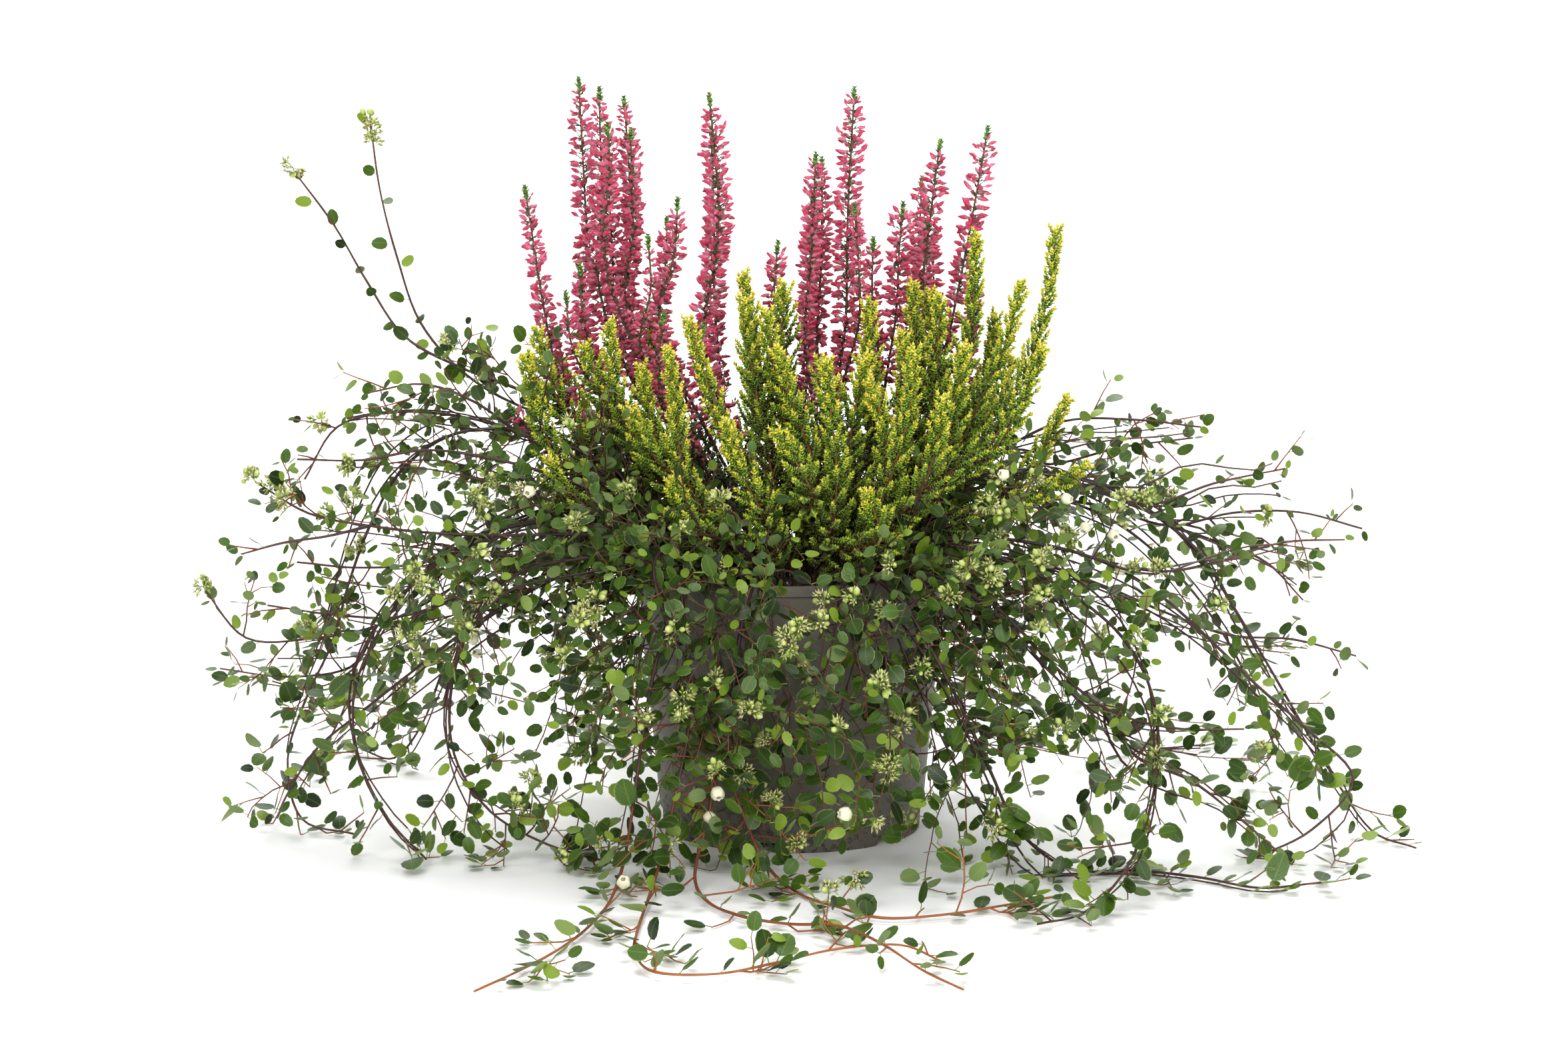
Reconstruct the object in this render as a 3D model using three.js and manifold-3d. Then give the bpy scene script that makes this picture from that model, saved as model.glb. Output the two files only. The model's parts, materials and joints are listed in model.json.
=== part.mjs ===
// Potted heather: a bud heather, a foliage heather and a trailing wire vine in a round nursery pot.
// Millimetres, +Z up. The origin is the centre of the pot's underside, and the front looks along -Y.
import * as THREE from "three";
import { mergeVertices } from "three/addons/utils/BufferGeometryUtils.js";
import Module from "manifold-3d";

const wasm = await Module();
wasm.setup();

// Driving dimensions

const POT_HEIGHT = 112;
const POT_SEGMENTS = 32;
const POT_WALL = 1.4;
const POT_RIM_RADIUS = 65.5;
const POT_RIM_BAND = 4.6;
const POT_RIM_STEP = 1.2;
const FOOT_HEIGHT = 9.5;
const FOOT_RADIUS = 54.2;
const FOOT_STEP = 1;
const FOOT_WALL = 3.2;
const PAD_RADIUS = 40;
const FLOOR_LIFT = 4;
const NOTCH_COUNT = 6;
const NOTCH_WIDTH = 18;
const NOTCH_HEIGHT = 4.2;
const DRAIN_RADIUS = 3.5;
const DRAIN_PLACE = 45.5;

const FIT_GAP = 0.35;
const SOIL_TOP = 100;
const SOIL_BUMP = 1.3;
const SOIL_RIDGE = 50;
const ROOT_DEPTH = 9;
const ROOT_RISE = 5;
const HOLE_SIDES = 4;
const PLANTING_RADIUS = 52;
const PLANTING_PLACES = 62;
const SPRAY_ROOT_PULL = 0.44;
const VINE_ROOT_PULL = 0.8;
const GOLDEN_ANGLE = Math.PI * (3 - Math.sqrt(5));

const BUD_SIDES = 4;
const SHOOT_SIDES = 4;
const SPRAY_STEM_RADIUS = 1.25;
const SPRAY_STEP = 24;
const FORK_HEIGHT = 118;
const BUD_PITCH = 6.5;
const BUD_LIFT = 2.6;
const BUD_HOLLOW = 0.5;
const SHOOT_PITCH = 7.4;
const SHOOT_LIFT = 6;
const SHOOT_CORE = 1.25;
const SHOOT_REACH = 6.2;
const TIP_REACH = 2.9;

const VINE_SIDES = 3;
const VINE_STEP = 27;
const VINE_RADIUS = 1.05;
const VINE_TIP_RADIUS = 0.6;
const LEAF_SIDES = 6;
const LEAF_LENGTH = 11;
const LEAF_WIDTH = 9.5;
const LEAF_THICKNESS = 1.1;
const LEAF_SPACING = 66;
const LEAF_TRIES = 8;

const LEAF_SEED = 11;
const CLEARANCE = 0.9;
const PUSH_SHARE = 0.4;
const SMOOTH_SHARE = 0.05;
const POT_ROOM = 2.2;
const RIM_MIDDLE = POT_RIM_RADIUS - 1.3;
const RIM_INSIDE = RIM_MIDDLE - 3;
const RIM_ZONE = 8;
const FLOOR_ROOM = 0.5;
const SPREAD_ROUNDS = 300;
const PAIR_REFRESH = 6;
const PAIR_MARGIN = 8;

// Spikes of the bud heather, in sprays. A spike is its bud width, then points from its lowest bud to its tip.

const BUD_SPRAYS = [
  [
    [10.5, [-93, 12, 178], [-106, 8, 240], [-110, 5, 268]],
    [9, [-96, -5, 155], [-107, -8, 167], [-117, -10, 179]],
  ],
  [
    [12.5, [-81, 30, 187], [-86, 34, 251], [-89, 36, 311]],
    [9, [-82, 2, 196], [-85, -2, 213], [-87, -4, 236]],
  ],
  [
    [11.5, [-76, 18, 211], [-78, 20, 261], [-79, 22, 308]],
    [11, [-72, 58, 196], [-76, 60, 240], [-78, 62, 280]],
  ],
  [
    [10.5, [-73, 8, 220], [-75, 6, 273], [-76, 4, 294]],
    [9, [-85, -4, 188], [-89, -6, 205], [-93, -8, 226]],
  ],
  [[11.5, [-66, 40, 203], [-67, 42, 259], [-70, 44, 303]]],
  [
    [10.5, [-64, 24, 206], [-65, 26, 247], [-66, 27, 291]],
    [8, [-59, -2, 191], [-57, -6, 224], [-58, -8, 249]],
  ],
  [
    [10.5, [-52, 10, 201], [-49, 8, 234], [-47, 6, 263]],
    [8, [-56, -10, 181], [-54, -12, 200], [-53, -14, 217]],
  ],
  [
    [10, [-55, 28, 199], [-55, 28, 227], [-54, 28, 253]],
    [11, [-32, 52, 200], [-33, 55, 244], [-34, 57, 286]],
  ],
  [
    [13.5, [-34, 8, 190], [-30, 6, 253], [-34, 4, 306]],
    [9, [-36, -8, 180], [-36, -10, 197], [-36, -12, 213]],
  ],
  [
    [10, [-6, 10, 206], [-6, 8, 226], [-5, 8, 245]],
    [11, [8, 52, 190], [10, 58, 226], [10, 62, 262]],
  ],
  [
    [11.5, [5, 10, 195], [7, 12, 239], [9, 14, 281]],
    [11, [10, 26, 194], [12, 30, 238], [12, 32, 278]],
  ],
  [
    [13, [19, 6, 195], [22, 4, 254], [25, 4, 308]],
    [9, [27, -8, 208], [28, -12, 236], [26, -14, 262]],
  ],
  [
    [13, [43, 8, 212], [44, 6, 234], [46, 5, 261]],
    [9, [36, 6, 201], [33, 14, 226], [34, 16, 246]],
  ],
  [
    [12.5, [52, 18, 205], [57, 20, 247], [62, 22, 286]],
    [10, [60, 38, 212], [58, 40, 232], [57, 42, 251]],
    [11, [50, 56, 190], [54, 62, 230], [56, 66, 268]],
  ],
  [
    [12.5, [69, 4, 223], [75, 4, 256], [81, 4, 292]],
    [9, [69, -2, 185], [73, -4, 213], [74, -5, 233]],
  ],
];

// Spikes of the foliage heather, in sprays, from the lowest side shoot to the tip.

const FOLIAGE_SPRAYS = [
  [
    [[-87, -25, 150], [-100, -25, 172], [-108, -25, 201]],
    [[-82, -8, 158], [-96, -10, 186], [-103, -12, 212]],
    [[-86, -40, 139], [-92, -44, 150], [-97, -46, 159]],
  ],
  [
    [[-62, -28, 164], [-72, -28, 191], [-74, -28, 214]],
    [[-70, -18, 171], [-79, -18, 190], [-85, -18, 204]],
    [[-51, -32, 158], [-58, -34, 180], [-61, -34, 197]],
  ],
  [
    [[-40, -48, 146], [-46, -50, 180], [-50, -50, 206]],
    [[-53, -44, 158], [-62, -46, 172], [-66, -48, 182]],
    [[-36, -58, 130], [-44, -62, 143], [-48, -64, 155]],
  ],
  [
    [[-13, -48, 146], [-30, -46, 180], [-42, -40, 217]],
    [[-12, -52, 140], [-22, -56, 160], [-26, -58, 178]],
  ],
  [
    [[-12, -18, 171], [-17, -18, 201], [-19, -20, 223]],
    [[-13, 0, 191], [-17, -2, 213], [-20, -2, 232]],
    [[-5, -4, 191], [-3, -6, 210], [-3, -8, 228]],
  ],
  [
    [[2, -22, 171], [-8, -26, 198], [-10, -28, 219]],
    [[13, -38, 150], [4, -40, 179], [-3, -42, 206]],
    [[8, -54, 148], [0, -58, 161], [-6, -60, 174]],
  ],
  [
    [[18, -52, 145], [16, -54, 175], [14, -52, 202]],
    [[15, -28, 165], [14, -28, 182], [12, -28, 198]],
    [[34, -58, 128], [33, -64, 140], [30, -66, 150]],
  ],
  [
    [[31, -16, 170], [31, -18, 195], [31, -18, 222]],
    [[20, -36, 164], [26, -36, 184], [28, -38, 202]],
    [[44, -44, 157], [39, -46, 176], [35, -46, 191]],
  ],
  [
    [[37, -52, 148], [46, -54, 180], [48, -54, 206]],
    [[43, -28, 169], [43, -28, 193], [42, -28, 211]],
    [[52, -60, 150], [58, -64, 172], [60, -64, 188]],
  ],
  [
    [[53, -12, 176], [52, -10, 203], [50, -10, 228]],
    [[59, 2, 190], [60, -2, 207], [60, -2, 224]],
    [[58, -24, 171], [60, -22, 198], [61, -22, 224]],
  ],
  [
    [[62, -8, 178], [71, -16, 216], [73, -16, 249]],
    [[56, -38, 162], [64, -40, 186], [68, -42, 207]],
    [[67, 6, 168], [80, 8, 190], [84, 10, 214]],
  ],
  [
    [[73, -22, 172], [86, -20, 200], [94, -18, 229]],
    [[70, 4, 146], [84, 10, 173], [92, 14, 195]],
  ],
  [
    [[80, -20, 160], [101, -18, 209], [108, -16, 252]],
    [[90, -6, 142], [106, -2, 164], [114, 0, 180]],
  ],
  [
    [[56, -46, 150], [84, -46, 168], [101, -44, 206]],
    [[86, -34, 138], [106, -34, 146], [120, -34, 156]],
  ],
  [
    [[-50, 48, 158], [-60, 56, 186], [-64, 58, 210]],
    [[-18, 56, 160], [-18, 66, 188], [-20, 68, 212]],
    [[-72, 40, 150], [-90, 46, 172], [-100, 46, 194]],
  ],
  [
    [[34, 52, 158], [34, 64, 184], [34, 68, 208]],
    [[68, 40, 152], [82, 46, 180], [88, 48, 204]],
    [[4, 62, 140], [2, 76, 160], [0, 80, 182]],
  ],
];

// Stems of the wire vine: main routes from the crown outward, then side stems with the place they leave.

const VINES = [
  [
    [[-60, -5, 140], [-90, -6, 172], [-121, -2, 187], [-146, 2, 196], [-162, 8, 206], [-177, 12, 228],
      [-190, 12, 251], [-206, 12, 273]],
    [1, [-118, 10, 177], [-138, 18, 189], [-154, 24, 206], [-163, 26, 226], [-168, 28, 250],
      [-174, 30, 270], [-176, 30, 292]],
  ],
  [
    [[-55, -28, 135], [-80, -28, 154], [-117, -22, 170], [-147, -20, 176], [-180, -18, 174],
      [-194, -20, 161], [-200, -22, 149]],
    [2, [-134, -28, 184], [-156, -32, 190], [-172, -32, 186]],
  ],
  [[[-50, -38, 130], [-78, -42, 146], [-115, -42, 159], [-158, -42, 164], [-182, -42, 157],
    [-200, -42, 160]]],
  [
    [[-45, -46, 124], [-77, -54, 131], [-132, -52, 131], [-172, -46, 134], [-203, -38, 140],
      [-218, -34, 150]],
    [3, [-190, -54, 130], [-206, -56, 128], [-221, -58, 124]],
  ],
  [[[-50, 5, 130], [-84, 2, 138], [-125, 0, 126], [-150, 0, 113], [-180, -2, 110], [-206, 0, 112]]],
  [
    [[-48, 24, 128], [-84, 24, 130], [-130, 24, 106], [-165, 24, 84], [-195, 22, 77], [-222, 22, 73],
      [-241, 22, 82], [-248, 22, 96]],
    [3, [-182, 34, 64], [-208, 36, 56], [-244, 34, 60]],
  ],
  [[[-52, -10, 126], [-86, -10, 122], [-130, -8, 102], [-160, -6, 90], [-190, -4, 90], [-218, -4, 94]]],
  [[[-48, -16, 130], [-80, -14, 156], [-115, -12, 168], [-146, -10, 164], [-163, -12, 148], [-179, -14, 117],
    [-189, -14, 83], [-204, -14, 50], [-210, -16, 22], [-200, -22, 4], [-180, -30, 2.5]]],
  [[[-46, -34, 122], [-84, -36, 136], [-122, -44, 132], [-147, -52, 118], [-168, -54, 90], [-178, -54, 60],
    [-172, -54, 30], [-156, -60, 6], [-147, -72, 2.5]]],
  [[[-36, -46, 120], [-74, -62, 124], [-112, -64, 116], [-131, -64, 90], [-138, -64, 57], [-130, -66, 30],
    [-112, -68, 14], [-90, -72, 5], [-72, -80, 2.5]]],
  [[[-44, -4, 124], [-78, -26, 118], [-120, -36, 98], [-150, -36, 76], [-175, -34, 56], [-198, -30, 36],
    [-211, -20, 14], [-216, -2, 3]]],
  [
    [[-30, -50, 118], [-44, -72, 112], [-54, -84, 84], [-60, -92, 50], [-64, -106, 20], [-68, -130, 5],
      [-74, -170, 2.5], [-84, -210, 2.5], [-98, -244, 2.5], [-112, -272, 2.5]],
    [1, [-40, -88, 70], [-46, -98, 34], [-52, -118, 10], [-56, -150, 2.5], [-58, -196, 2.5], [-56, -228, 2.5],
      [-42, -254, 2.5], [-14, -240, 2.5], [14, -216, 2.5], [36, -206, 2.5], [54, -232, 2.5]],
  ],
  [[[-10, -54, 118], [-18, -76, 108], [-24, -86, 70], [-32, -98, 30], [-38, -116, 8], [-34, -140, 2.5],
    [-14, -172, 2.5], [8, -194, 6], [24, -212, 9], [44, -244, 4], [60, -270, 2.5]]],
  [[[-20, -50, 124], [-44, -70, 134], [-56, -84, 118], [-42, -90, 88], [-28, -90, 50], [-16, -98, 18],
    [-4, -116, 3], [16, -150, 2.5], [32, -168, 2.5], [53, -166, 2.5], [80, -150, 2.5], [104, -134, 2.5]]],
  [[[40, -44, 124], [70, -54, 126], [100, -66, 116], [128, -84, 98], [142, -104, 72], [140, -126, 42],
    [128, -146, 16], [112, -160, 3], [92, -178, 2.5]]],
  [
    [[44, -16, 132], [82, -22, 152], [126, -22, 145], [162, -22, 125], [187, -22, 88], [206, -22, 56],
      [224, -24, 26], [240, -32, 4], [254, -54, 2.5]],
    [2, [152, -16, 138], [181, -14, 150], [203, -14, 153]],
  ],
  [
    [[44, -34, 124], [84, -48, 130], [132, -52, 118], [165, -52, 92], [188, -52, 70], [206, -54, 54],
      [226, -58, 38], [222, -62, 22], [202, -66, 8], [186, -72, 2.5]],
    [2, [160, -48, 116], [190, -44, 126], [224, -42, 128]],
  ],
  [
    [[40, 0, 132], [78, -4, 152], [98, 2, 166], [120, 2, 171], [144, 0, 171], [170, 0, 168]],
    [1, [100, 14, 150], [124, 14, 154], [150, 12, 161], [168, 12, 162]],
  ],
  [
    [[50, 8, 130], [90, 6, 138], [130, 6, 134], [160, 4, 126], [186, 4, 132], [211, 4, 132], [238, 4, 125]],
    [3, [189, 14, 114], [205, 18, 105], [216, 20, 92]],
  ],
  [[[48, -6, 122], [92, -6, 118], [140, -4, 100], [170, -2, 86], [190, 0, 81], [210, 0, 80], [236, 0, 73]]],
  [
    [[30, -50, 120], [62, -68, 118], [92, -78, 96], [114, -82, 72], [140, -82, 60], [160, -80, 57],
      [180, -80, 57]],
    [3, [130, -84, 50], [152, -76, 40], [174, -74, 24], [200, -84, 2.5]],
  ],
  [[[14, -54, 118], [40, -78, 112], [62, -92, 78], [78, -96, 44], [94, -98, 14], [112, -94, 3],
    [134, -92, 2.5], [160, -104, 2.5], [184, -122, 2.5], [207, -113, 2.5]]],
  [
    [[-30, 44, 122], [-62, 62, 128], [-104, 82, 112], [-136, 94, 80], [-156, 102, 44], [-168, 108, 14],
      [-180, 120, 2.5], [-196, 140, 2.5]],
    [1, [-90, 56, 134], [-128, 62, 118], [-160, 68, 92], [-184, 72, 60], [-200, 76, 26], [-214, 84, 2.5]],
  ],
  [[[-10, 50, 122], [-24, 76, 122], [-50, 108, 96], [-66, 130, 60], [-74, 146, 24], [-84, 164, 3],
    [-96, 196, 2.5], [-90, 226, 2.5]]],
  [[[8, 50, 122], [20, 78, 120], [28, 104, 92], [30, 122, 56], [34, 140, 20], [40, 164, 3],
    [52, 200, 2.5], [48, 236, 2.5]]],
  [[[26, 46, 122], [58, 66, 126], [92, 88, 110], [118, 104, 80], [136, 118, 44], [148, 130, 12],
    [164, 144, 2.5], [190, 150, 2.5]]],
  [[[44, 24, 128], [84, 34, 136], [126, 44, 128], [160, 52, 104], [186, 58, 72], [204, 62, 38],
    [216, 66, 8], [224, 76, 2.5]]],
];

// Solids

function random(seed) {
  let state = seed;
  return () => {
    state = (state + 0x6d2b79f5) | 0;
    let mixed = Math.imul(state ^ (state >>> 15), 1 | state);
    mixed = (mixed + Math.imul(mixed ^ (mixed >>> 7), 61 | mixed)) ^ mixed;
    return ((mixed ^ (mixed >>> 14)) >>> 0) / 4294967296;
  };
}

function solid(geometry) {
  geometry.deleteAttribute("normal");
  geometry.deleteAttribute("uv");
  const merged = mergeVertices(geometry, 1e-4);
  const corners = [];
  const index = merged.index.array;
  for (let i = 0; i < index.length; i += 3) {
    const [a, b, c] = [index[i], index[i + 1], index[i + 2]];
    if (a !== b && b !== c && c !== a) corners.push(a, b, c);
  }
  const make = () => new wasm.Manifold(new wasm.Mesh({
    numProp: 3,
    vertProperties: new Float32Array(merged.attributes.position.array),
    triVerts: new Uint32Array(corners),
  }));
  const body = make();
  if (body.volume() > 0) return body;
  for (let i = 0; i < corners.length; i += 3) [corners[i], corners[i + 1]] = [corners[i + 1], corners[i]];
  return make();
}

function joined(bodies) {
  const whole = bodies.reduce((sum, body) => sum.add(body));
  const pieces = whole.decompose();
  return pieces.reduce((best, piece) => (piece.volume() > best.volume() ? piece : best));
}

function geometryOf(body) {
  const mesh = body.getMesh();
  const geometry = new THREE.BufferGeometry();
  geometry.setAttribute("position", new THREE.BufferAttribute(new Float32Array(mesh.vertProperties), 3));
  geometry.setIndex(new THREE.BufferAttribute(new Uint32Array(mesh.triVerts), 1));
  return geometry;
}

function turned(profile) {
  const points = profile.map(([radius, height]) => new THREE.Vector2(radius, height));
  return new THREE.LatheGeometry(points, POT_SEGMENTS).rotateX(Math.PI / 2);
}

// Pot

const wallFoot = FOOT_RADIUS + FOOT_STEP;
const wallTop = POT_RIM_RADIUS - POT_RIM_STEP;
const bandFoot = POT_HEIGHT - POT_RIM_BAND;

function wallRadius(height) {
  return THREE.MathUtils.mapLinear(height, FOOT_HEIGHT, bandFoot, wallFoot, wallTop);
}

function makePot() {
  const innerFoot = wallFoot - POT_WALL - FLOOR_LIFT / 8;
  let body = solid(turned([
    [0, 0],
    [PAD_RADIUS, 0],
    [PAD_RADIUS + 1.5, FLOOR_LIFT],
    [FOOT_RADIUS - FOOT_WALL - 1, FLOOR_LIFT],
    [FOOT_RADIUS - FOOT_WALL, 0],
    [FOOT_RADIUS - 0.5, 0],
    [FOOT_RADIUS, FOOT_HEIGHT - 1],
    [wallFoot, FOOT_HEIGHT],
    [wallTop, bandFoot],
    [POT_RIM_RADIUS, bandFoot],
    [POT_RIM_RADIUS, POT_HEIGHT],
    [wallTop - POT_WALL, POT_HEIGHT],
    [wallRadius(FOOT_HEIGHT + 3) - POT_WALL, FOOT_HEIGHT + 3],
    [innerFoot - 2, FLOOR_LIFT + POT_WALL],
    [PAD_RADIUS + 2.5, FLOOR_LIFT + POT_WALL],
    [PAD_RADIUS + 1, POT_WALL],
    [0, POT_WALL],
  ]));
  for (let i = 0; i < NOTCH_COUNT; i += 1) {
    const turn = (i + 0.32) * (2 * Math.PI / NOTCH_COUNT);
    const notch = new THREE.BoxGeometry(12, NOTCH_WIDTH, 2 * NOTCH_HEIGHT);
    notch.translate(FOOT_RADIUS, 0, 0).rotateZ(turn);
    const drain = new THREE.CylinderGeometry(DRAIN_RADIUS, DRAIN_RADIUS, 4 * FLOOR_LIFT, 6);
    drain.rotateX(Math.PI / 2).translate(DRAIN_PLACE, 0, 0).rotateZ(turn + Math.PI / NOTCH_COUNT);
    body = body.subtract(solid(notch)).subtract(solid(drain));
  }
  return body;
}

// Routes: a smooth curve through the hand-placed points, cut into even steps, with a radius at each step.

function curveThrough(points) {
  return new THREE.CatmullRomCurve3(points.map((p) => new THREE.Vector3(...p)), false, "catmullrom", 0.5);
}

function makeRoute(node, points, step) {
  const curve = curveThrough(points);
  const count = Math.max(3, Math.round(curve.getLength() / step));
  const home = curve.getSpacedPoints(count);
  return {
    node,
    home,
    points: home.map((p) => p.clone()),
    fixed: 0,
    tie: null,
  };
}

function plantingPlaces() {
  const places = [];
  for (let i = 0; i < PLANTING_PLACES; i += 1) {
    const reach = PLANTING_RADIUS * Math.sqrt((i + 0.5) / PLANTING_PLACES);
    places.push([reach * Math.cos(i * GOLDEN_ANGLE), reach * Math.sin(i * GOLDEN_ANGLE)]);
  }
  return places;
}

const freePlaces = plantingPlaces();

function takePlace(x, y) {
  let best = 0;
  freePlaces.forEach((place, i) => {
    const gap = Math.hypot(place[0] - x, place[1] - y);
    const bestGap = Math.hypot(freePlaces[best][0] - x, freePlaces[best][1] - y);
    if (gap < bestGap) best = i;
  });
  return freePlaces.splice(best, 1)[0];
}

function rooted(node, points, pull, step) {
  const [x, y] = takePlace(points[0][0] * pull, points[0][1] * pull);
  const route = makeRoute(node, [[x, y, SOIL_TOP + ROOT_RISE], ...points], step);
  const foot = new THREE.Vector3(x, y, SOIL_TOP - ROOT_DEPTH);
  route.home.unshift(foot);
  route.points.unshift(foot.clone());
  route.fixed = 2;
  return route;
}

function leaving(parent, index, points, step) {
  const start = parent.home[index];
  const route = makeRoute(parent.node, [start.toArray(), ...points], step);
  route.tie = { parent, index };
  return route;
}

function nearestStep(route, target) {
  const goal = new THREE.Vector3(...target);
  let best = 0;
  route.home.forEach((p, i) => {
    if (p.distanceTo(goal) < route.home[best].distanceTo(goal)) best = i;
  });
  return best;
}

function nearestFraction(route, target) {
  return nearestStep(route, target) / (route.home.length - 1);
}

function sprayRoutes(node, spikes, radiusOf) {
  const routes = [];
  for (const [width, ...points] of spikes) {
    const leader = routes[0];
    const fork = leader ? leader.home.findIndex((p) => p.z > FORK_HEIGHT) : 0;
    const route = leader
      ? leaving(leader, fork, points, SPRAY_STEP)
      : rooted(node, points, SPRAY_ROOT_PULL, SPRAY_STEP);
    route.width = width;
    route.start = nearestFraction(route, points[0]);
    route.radiusAt = radiusOf(route);
    routes.push(route);
  }
  return routes;
}

function budRadius(route) {
  return (t) => {
    if (t < route.start) return SPRAY_STEM_RADIUS;
    const rise = (t - route.start) / (1 - route.start);
    return (route.width / 2) * Math.min(1, 0.62 + 3 * rise, 0.45 + 2.6 * (1 - rise));
  };
}

function shootRadius(route) {
  return (t) => {
    if (t < route.start) return SPRAY_STEM_RADIUS;
    const rise = (t - route.start) / (1 - route.start);
    return THREE.MathUtils.lerp(SHOOT_REACH, TIP_REACH, rise) * Math.min(1, 0.5 + 4 * rise);
  };
}

function vineRadius() {
  return (t) => THREE.MathUtils.lerp(VINE_RADIUS, VINE_TIP_RADIUS, t);
}

function vineRoutes(node, stems) {
  const [main, ...sides] = stems;
  const trunk = rooted(node, main, VINE_ROOT_PULL, VINE_STEP);
  trunk.radiusAt = vineRadius();
  const routes = [trunk];
  for (const [from, ...points] of sides) {
    const side = leaving(trunk, nearestStep(trunk, main[from]), points, VINE_STEP);
    side.radiusAt = vineRadius();
    routes.push(side);
  }
  return routes;
}

// Spreading: routes of different nodes are pushed apart until each has room for its own radius.

function spans(routes) {
  const list = [];
  for (const route of routes) {
    const last = route.points.length - 1;
    for (let i = 0; i < last; i += 1) {
      const radius = Math.max(route.radiusAt(i / last), route.radiusAt((i + 1) / last));
      list.push({ route, i, radius });
    }
  }
  return list;
}

const clamp01 = (value) => Math.min(1, Math.max(0, value));

function closest(first, second) {
  const p = first.route.points[first.i];
  const q = second.route.points[second.i];
  const d = first.route.points[first.i + 1].clone().sub(p);
  const e = second.route.points[second.i + 1].clone().sub(q);
  const r = p.clone().sub(q);
  const [dd, ee, de, dr, er] = [d.dot(d), e.dot(e), d.dot(e), d.dot(r), e.dot(r)];
  const spread = dd * ee - de * de;
  let s = spread > 1e-9 ? clamp01((de * er - dr * ee) / spread) : 0;
  const t = clamp01((de * s + er) / ee);
  s = clamp01((de * t - dr) / dd);
  const between = r.addScaledVector(d, s).addScaledVector(e, -t);
  return { s, t, between };
}

function nearPairs(list) {
  const middles = list.map(({ route, i }) => route.points[i].clone().lerp(route.points[i + 1], 0.5));
  const halves = list.map(({ route, i }) => route.points[i].distanceTo(route.points[i + 1]) / 2);
  const pairs = [];
  for (let a = 0; a < list.length; a += 1) {
    for (let b = a + 1; b < list.length; b += 1) {
      if (list[a].route.node === list[b].route.node) continue;
      const reach = list[a].radius + list[b].radius + halves[a] + halves[b] + PAIR_MARGIN;
      if (middles[a].distanceToSquared(middles[b]) < reach * reach) pairs.push([list[a], list[b]]);
    }
  }
  return pairs;
}

function clearOfPot(point, radius) {
  const reach = Math.hypot(point.x, point.y);
  const room = radius + POT_ROOM;
  const isLow = point.z < POT_HEIGHT;
  let wanted = reach;
  if (isLow && reach > RIM_MIDDLE) {
    wanted = Math.max(reach, wallRadius(Math.max(0, point.z)) + POT_RIM_STEP + room);
  } else if (isLow && reach > RIM_INSIDE - room) {
    wanted = RIM_INSIDE - room;
  } else if (!isLow && Math.abs(reach - RIM_MIDDLE) < RIM_ZONE) {
    point.z = Math.max(point.z, POT_HEIGHT + room + POT_ROOM);
  }
  point.x *= wanted / reach;
  point.y *= wanted / reach;
  point.z = Math.max(point.z, radius + FLOOR_ROOM);
}

function spread(routes) {
  const list = spans(routes);
  let pairs = [];
  for (let round = 0; round < SPREAD_ROUNDS; round += 1) {
    if (round % PAIR_REFRESH === 0) pairs = nearPairs(list);
    const push = new Map(routes.map((route) => [route, route.points.map(() => new THREE.Vector3())]));
    for (const [a, b] of pairs) {
      const { s, t, between } = closest(a, b);
      const gap = between.length();
      const lack = a.radius + b.radius + CLEARANCE - gap;
      if (lack <= 0) continue;
      const way = gap > 1e-6 ? between.divideScalar(gap) : new THREE.Vector3(1, 0, 0);
      const step = PUSH_SHARE * lack;
      push.get(a.route)[a.i].addScaledVector(way, step * (1 - s));
      push.get(a.route)[a.i + 1].addScaledVector(way, step * s);
      push.get(b.route)[b.i].addScaledVector(way, -step * (1 - t));
      push.get(b.route)[b.i + 1].addScaledVector(way, -step * t);
    }
    for (const route of routes) {
      const last = route.points.length - 1;
      const moved = route.points.map((p, i) => p.clone().add(push.get(route)[i]).sub(route.home[i]));
      for (let i = route.fixed; i <= last; i += 1) {
        const before = moved[Math.max(i - 1, 0)];
        const after = moved[Math.min(i + 1, last)];
        const shift = moved[i].clone().multiplyScalar(1 - 2 * SMOOTH_SHARE);
        shift.addScaledVector(before, SMOOTH_SHARE).addScaledVector(after, SMOOTH_SHARE);
        route.points[i].copy(route.home[i]).add(shift);
        clearOfPot(route.points[i], route.radiusAt(i / last));
      }
    }
    for (const route of routes) {
      if (route.tie) route.points[0].copy(route.tie.parent.points[route.tie.index]);
    }
  }
}

// Where two nodes still crowd each other, both spikes get thinner there.

function thinWhereCrowded(routes) {
  const list = spans(routes);
  for (const route of routes) route.thin = route.points.map(() => 0);
  for (const [a, b] of nearPairs(list)) {
    const lack = a.radius + b.radius + CLEARANCE - closest(a, b).between.length();
    if (lack <= 0) continue;
    const whole = Math.max(a.radius + b.radius - 2 * SPRAY_STEM_RADIUS, 0.01);
    for (const side of [a, b]) {
      const share = lack * Math.min(1, Math.max(0, side.radius - SPRAY_STEM_RADIUS) / whole);
      side.route.thin[side.i] = Math.max(side.route.thin[side.i], share);
      side.route.thin[side.i + 1] = Math.max(side.route.thin[side.i + 1], share);
    }
  }
}

// Tubes: a cylinder bent along a route, with a radius and a lift at each of its corners.

function frames(places) {
  const ways = places.map((p, i) => {
    const before = places[Math.max(i - 1, 0)];
    const after = places[Math.min(i + 1, places.length - 1)];
    return after.clone().sub(before).normalize();
  });
  const sides = [];
  let side = new THREE.Vector3(1, 0, 0);
  for (const way of ways) {
    side = side.clone().addScaledVector(way, -side.dot(way)).normalize();
    sides.push(side);
  }
  return places.map((place, i) => ({
    place,
    way: ways[i],
    side: sides[i],
    other: ways[i].clone().cross(sides[i]),
  }));
}

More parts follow.
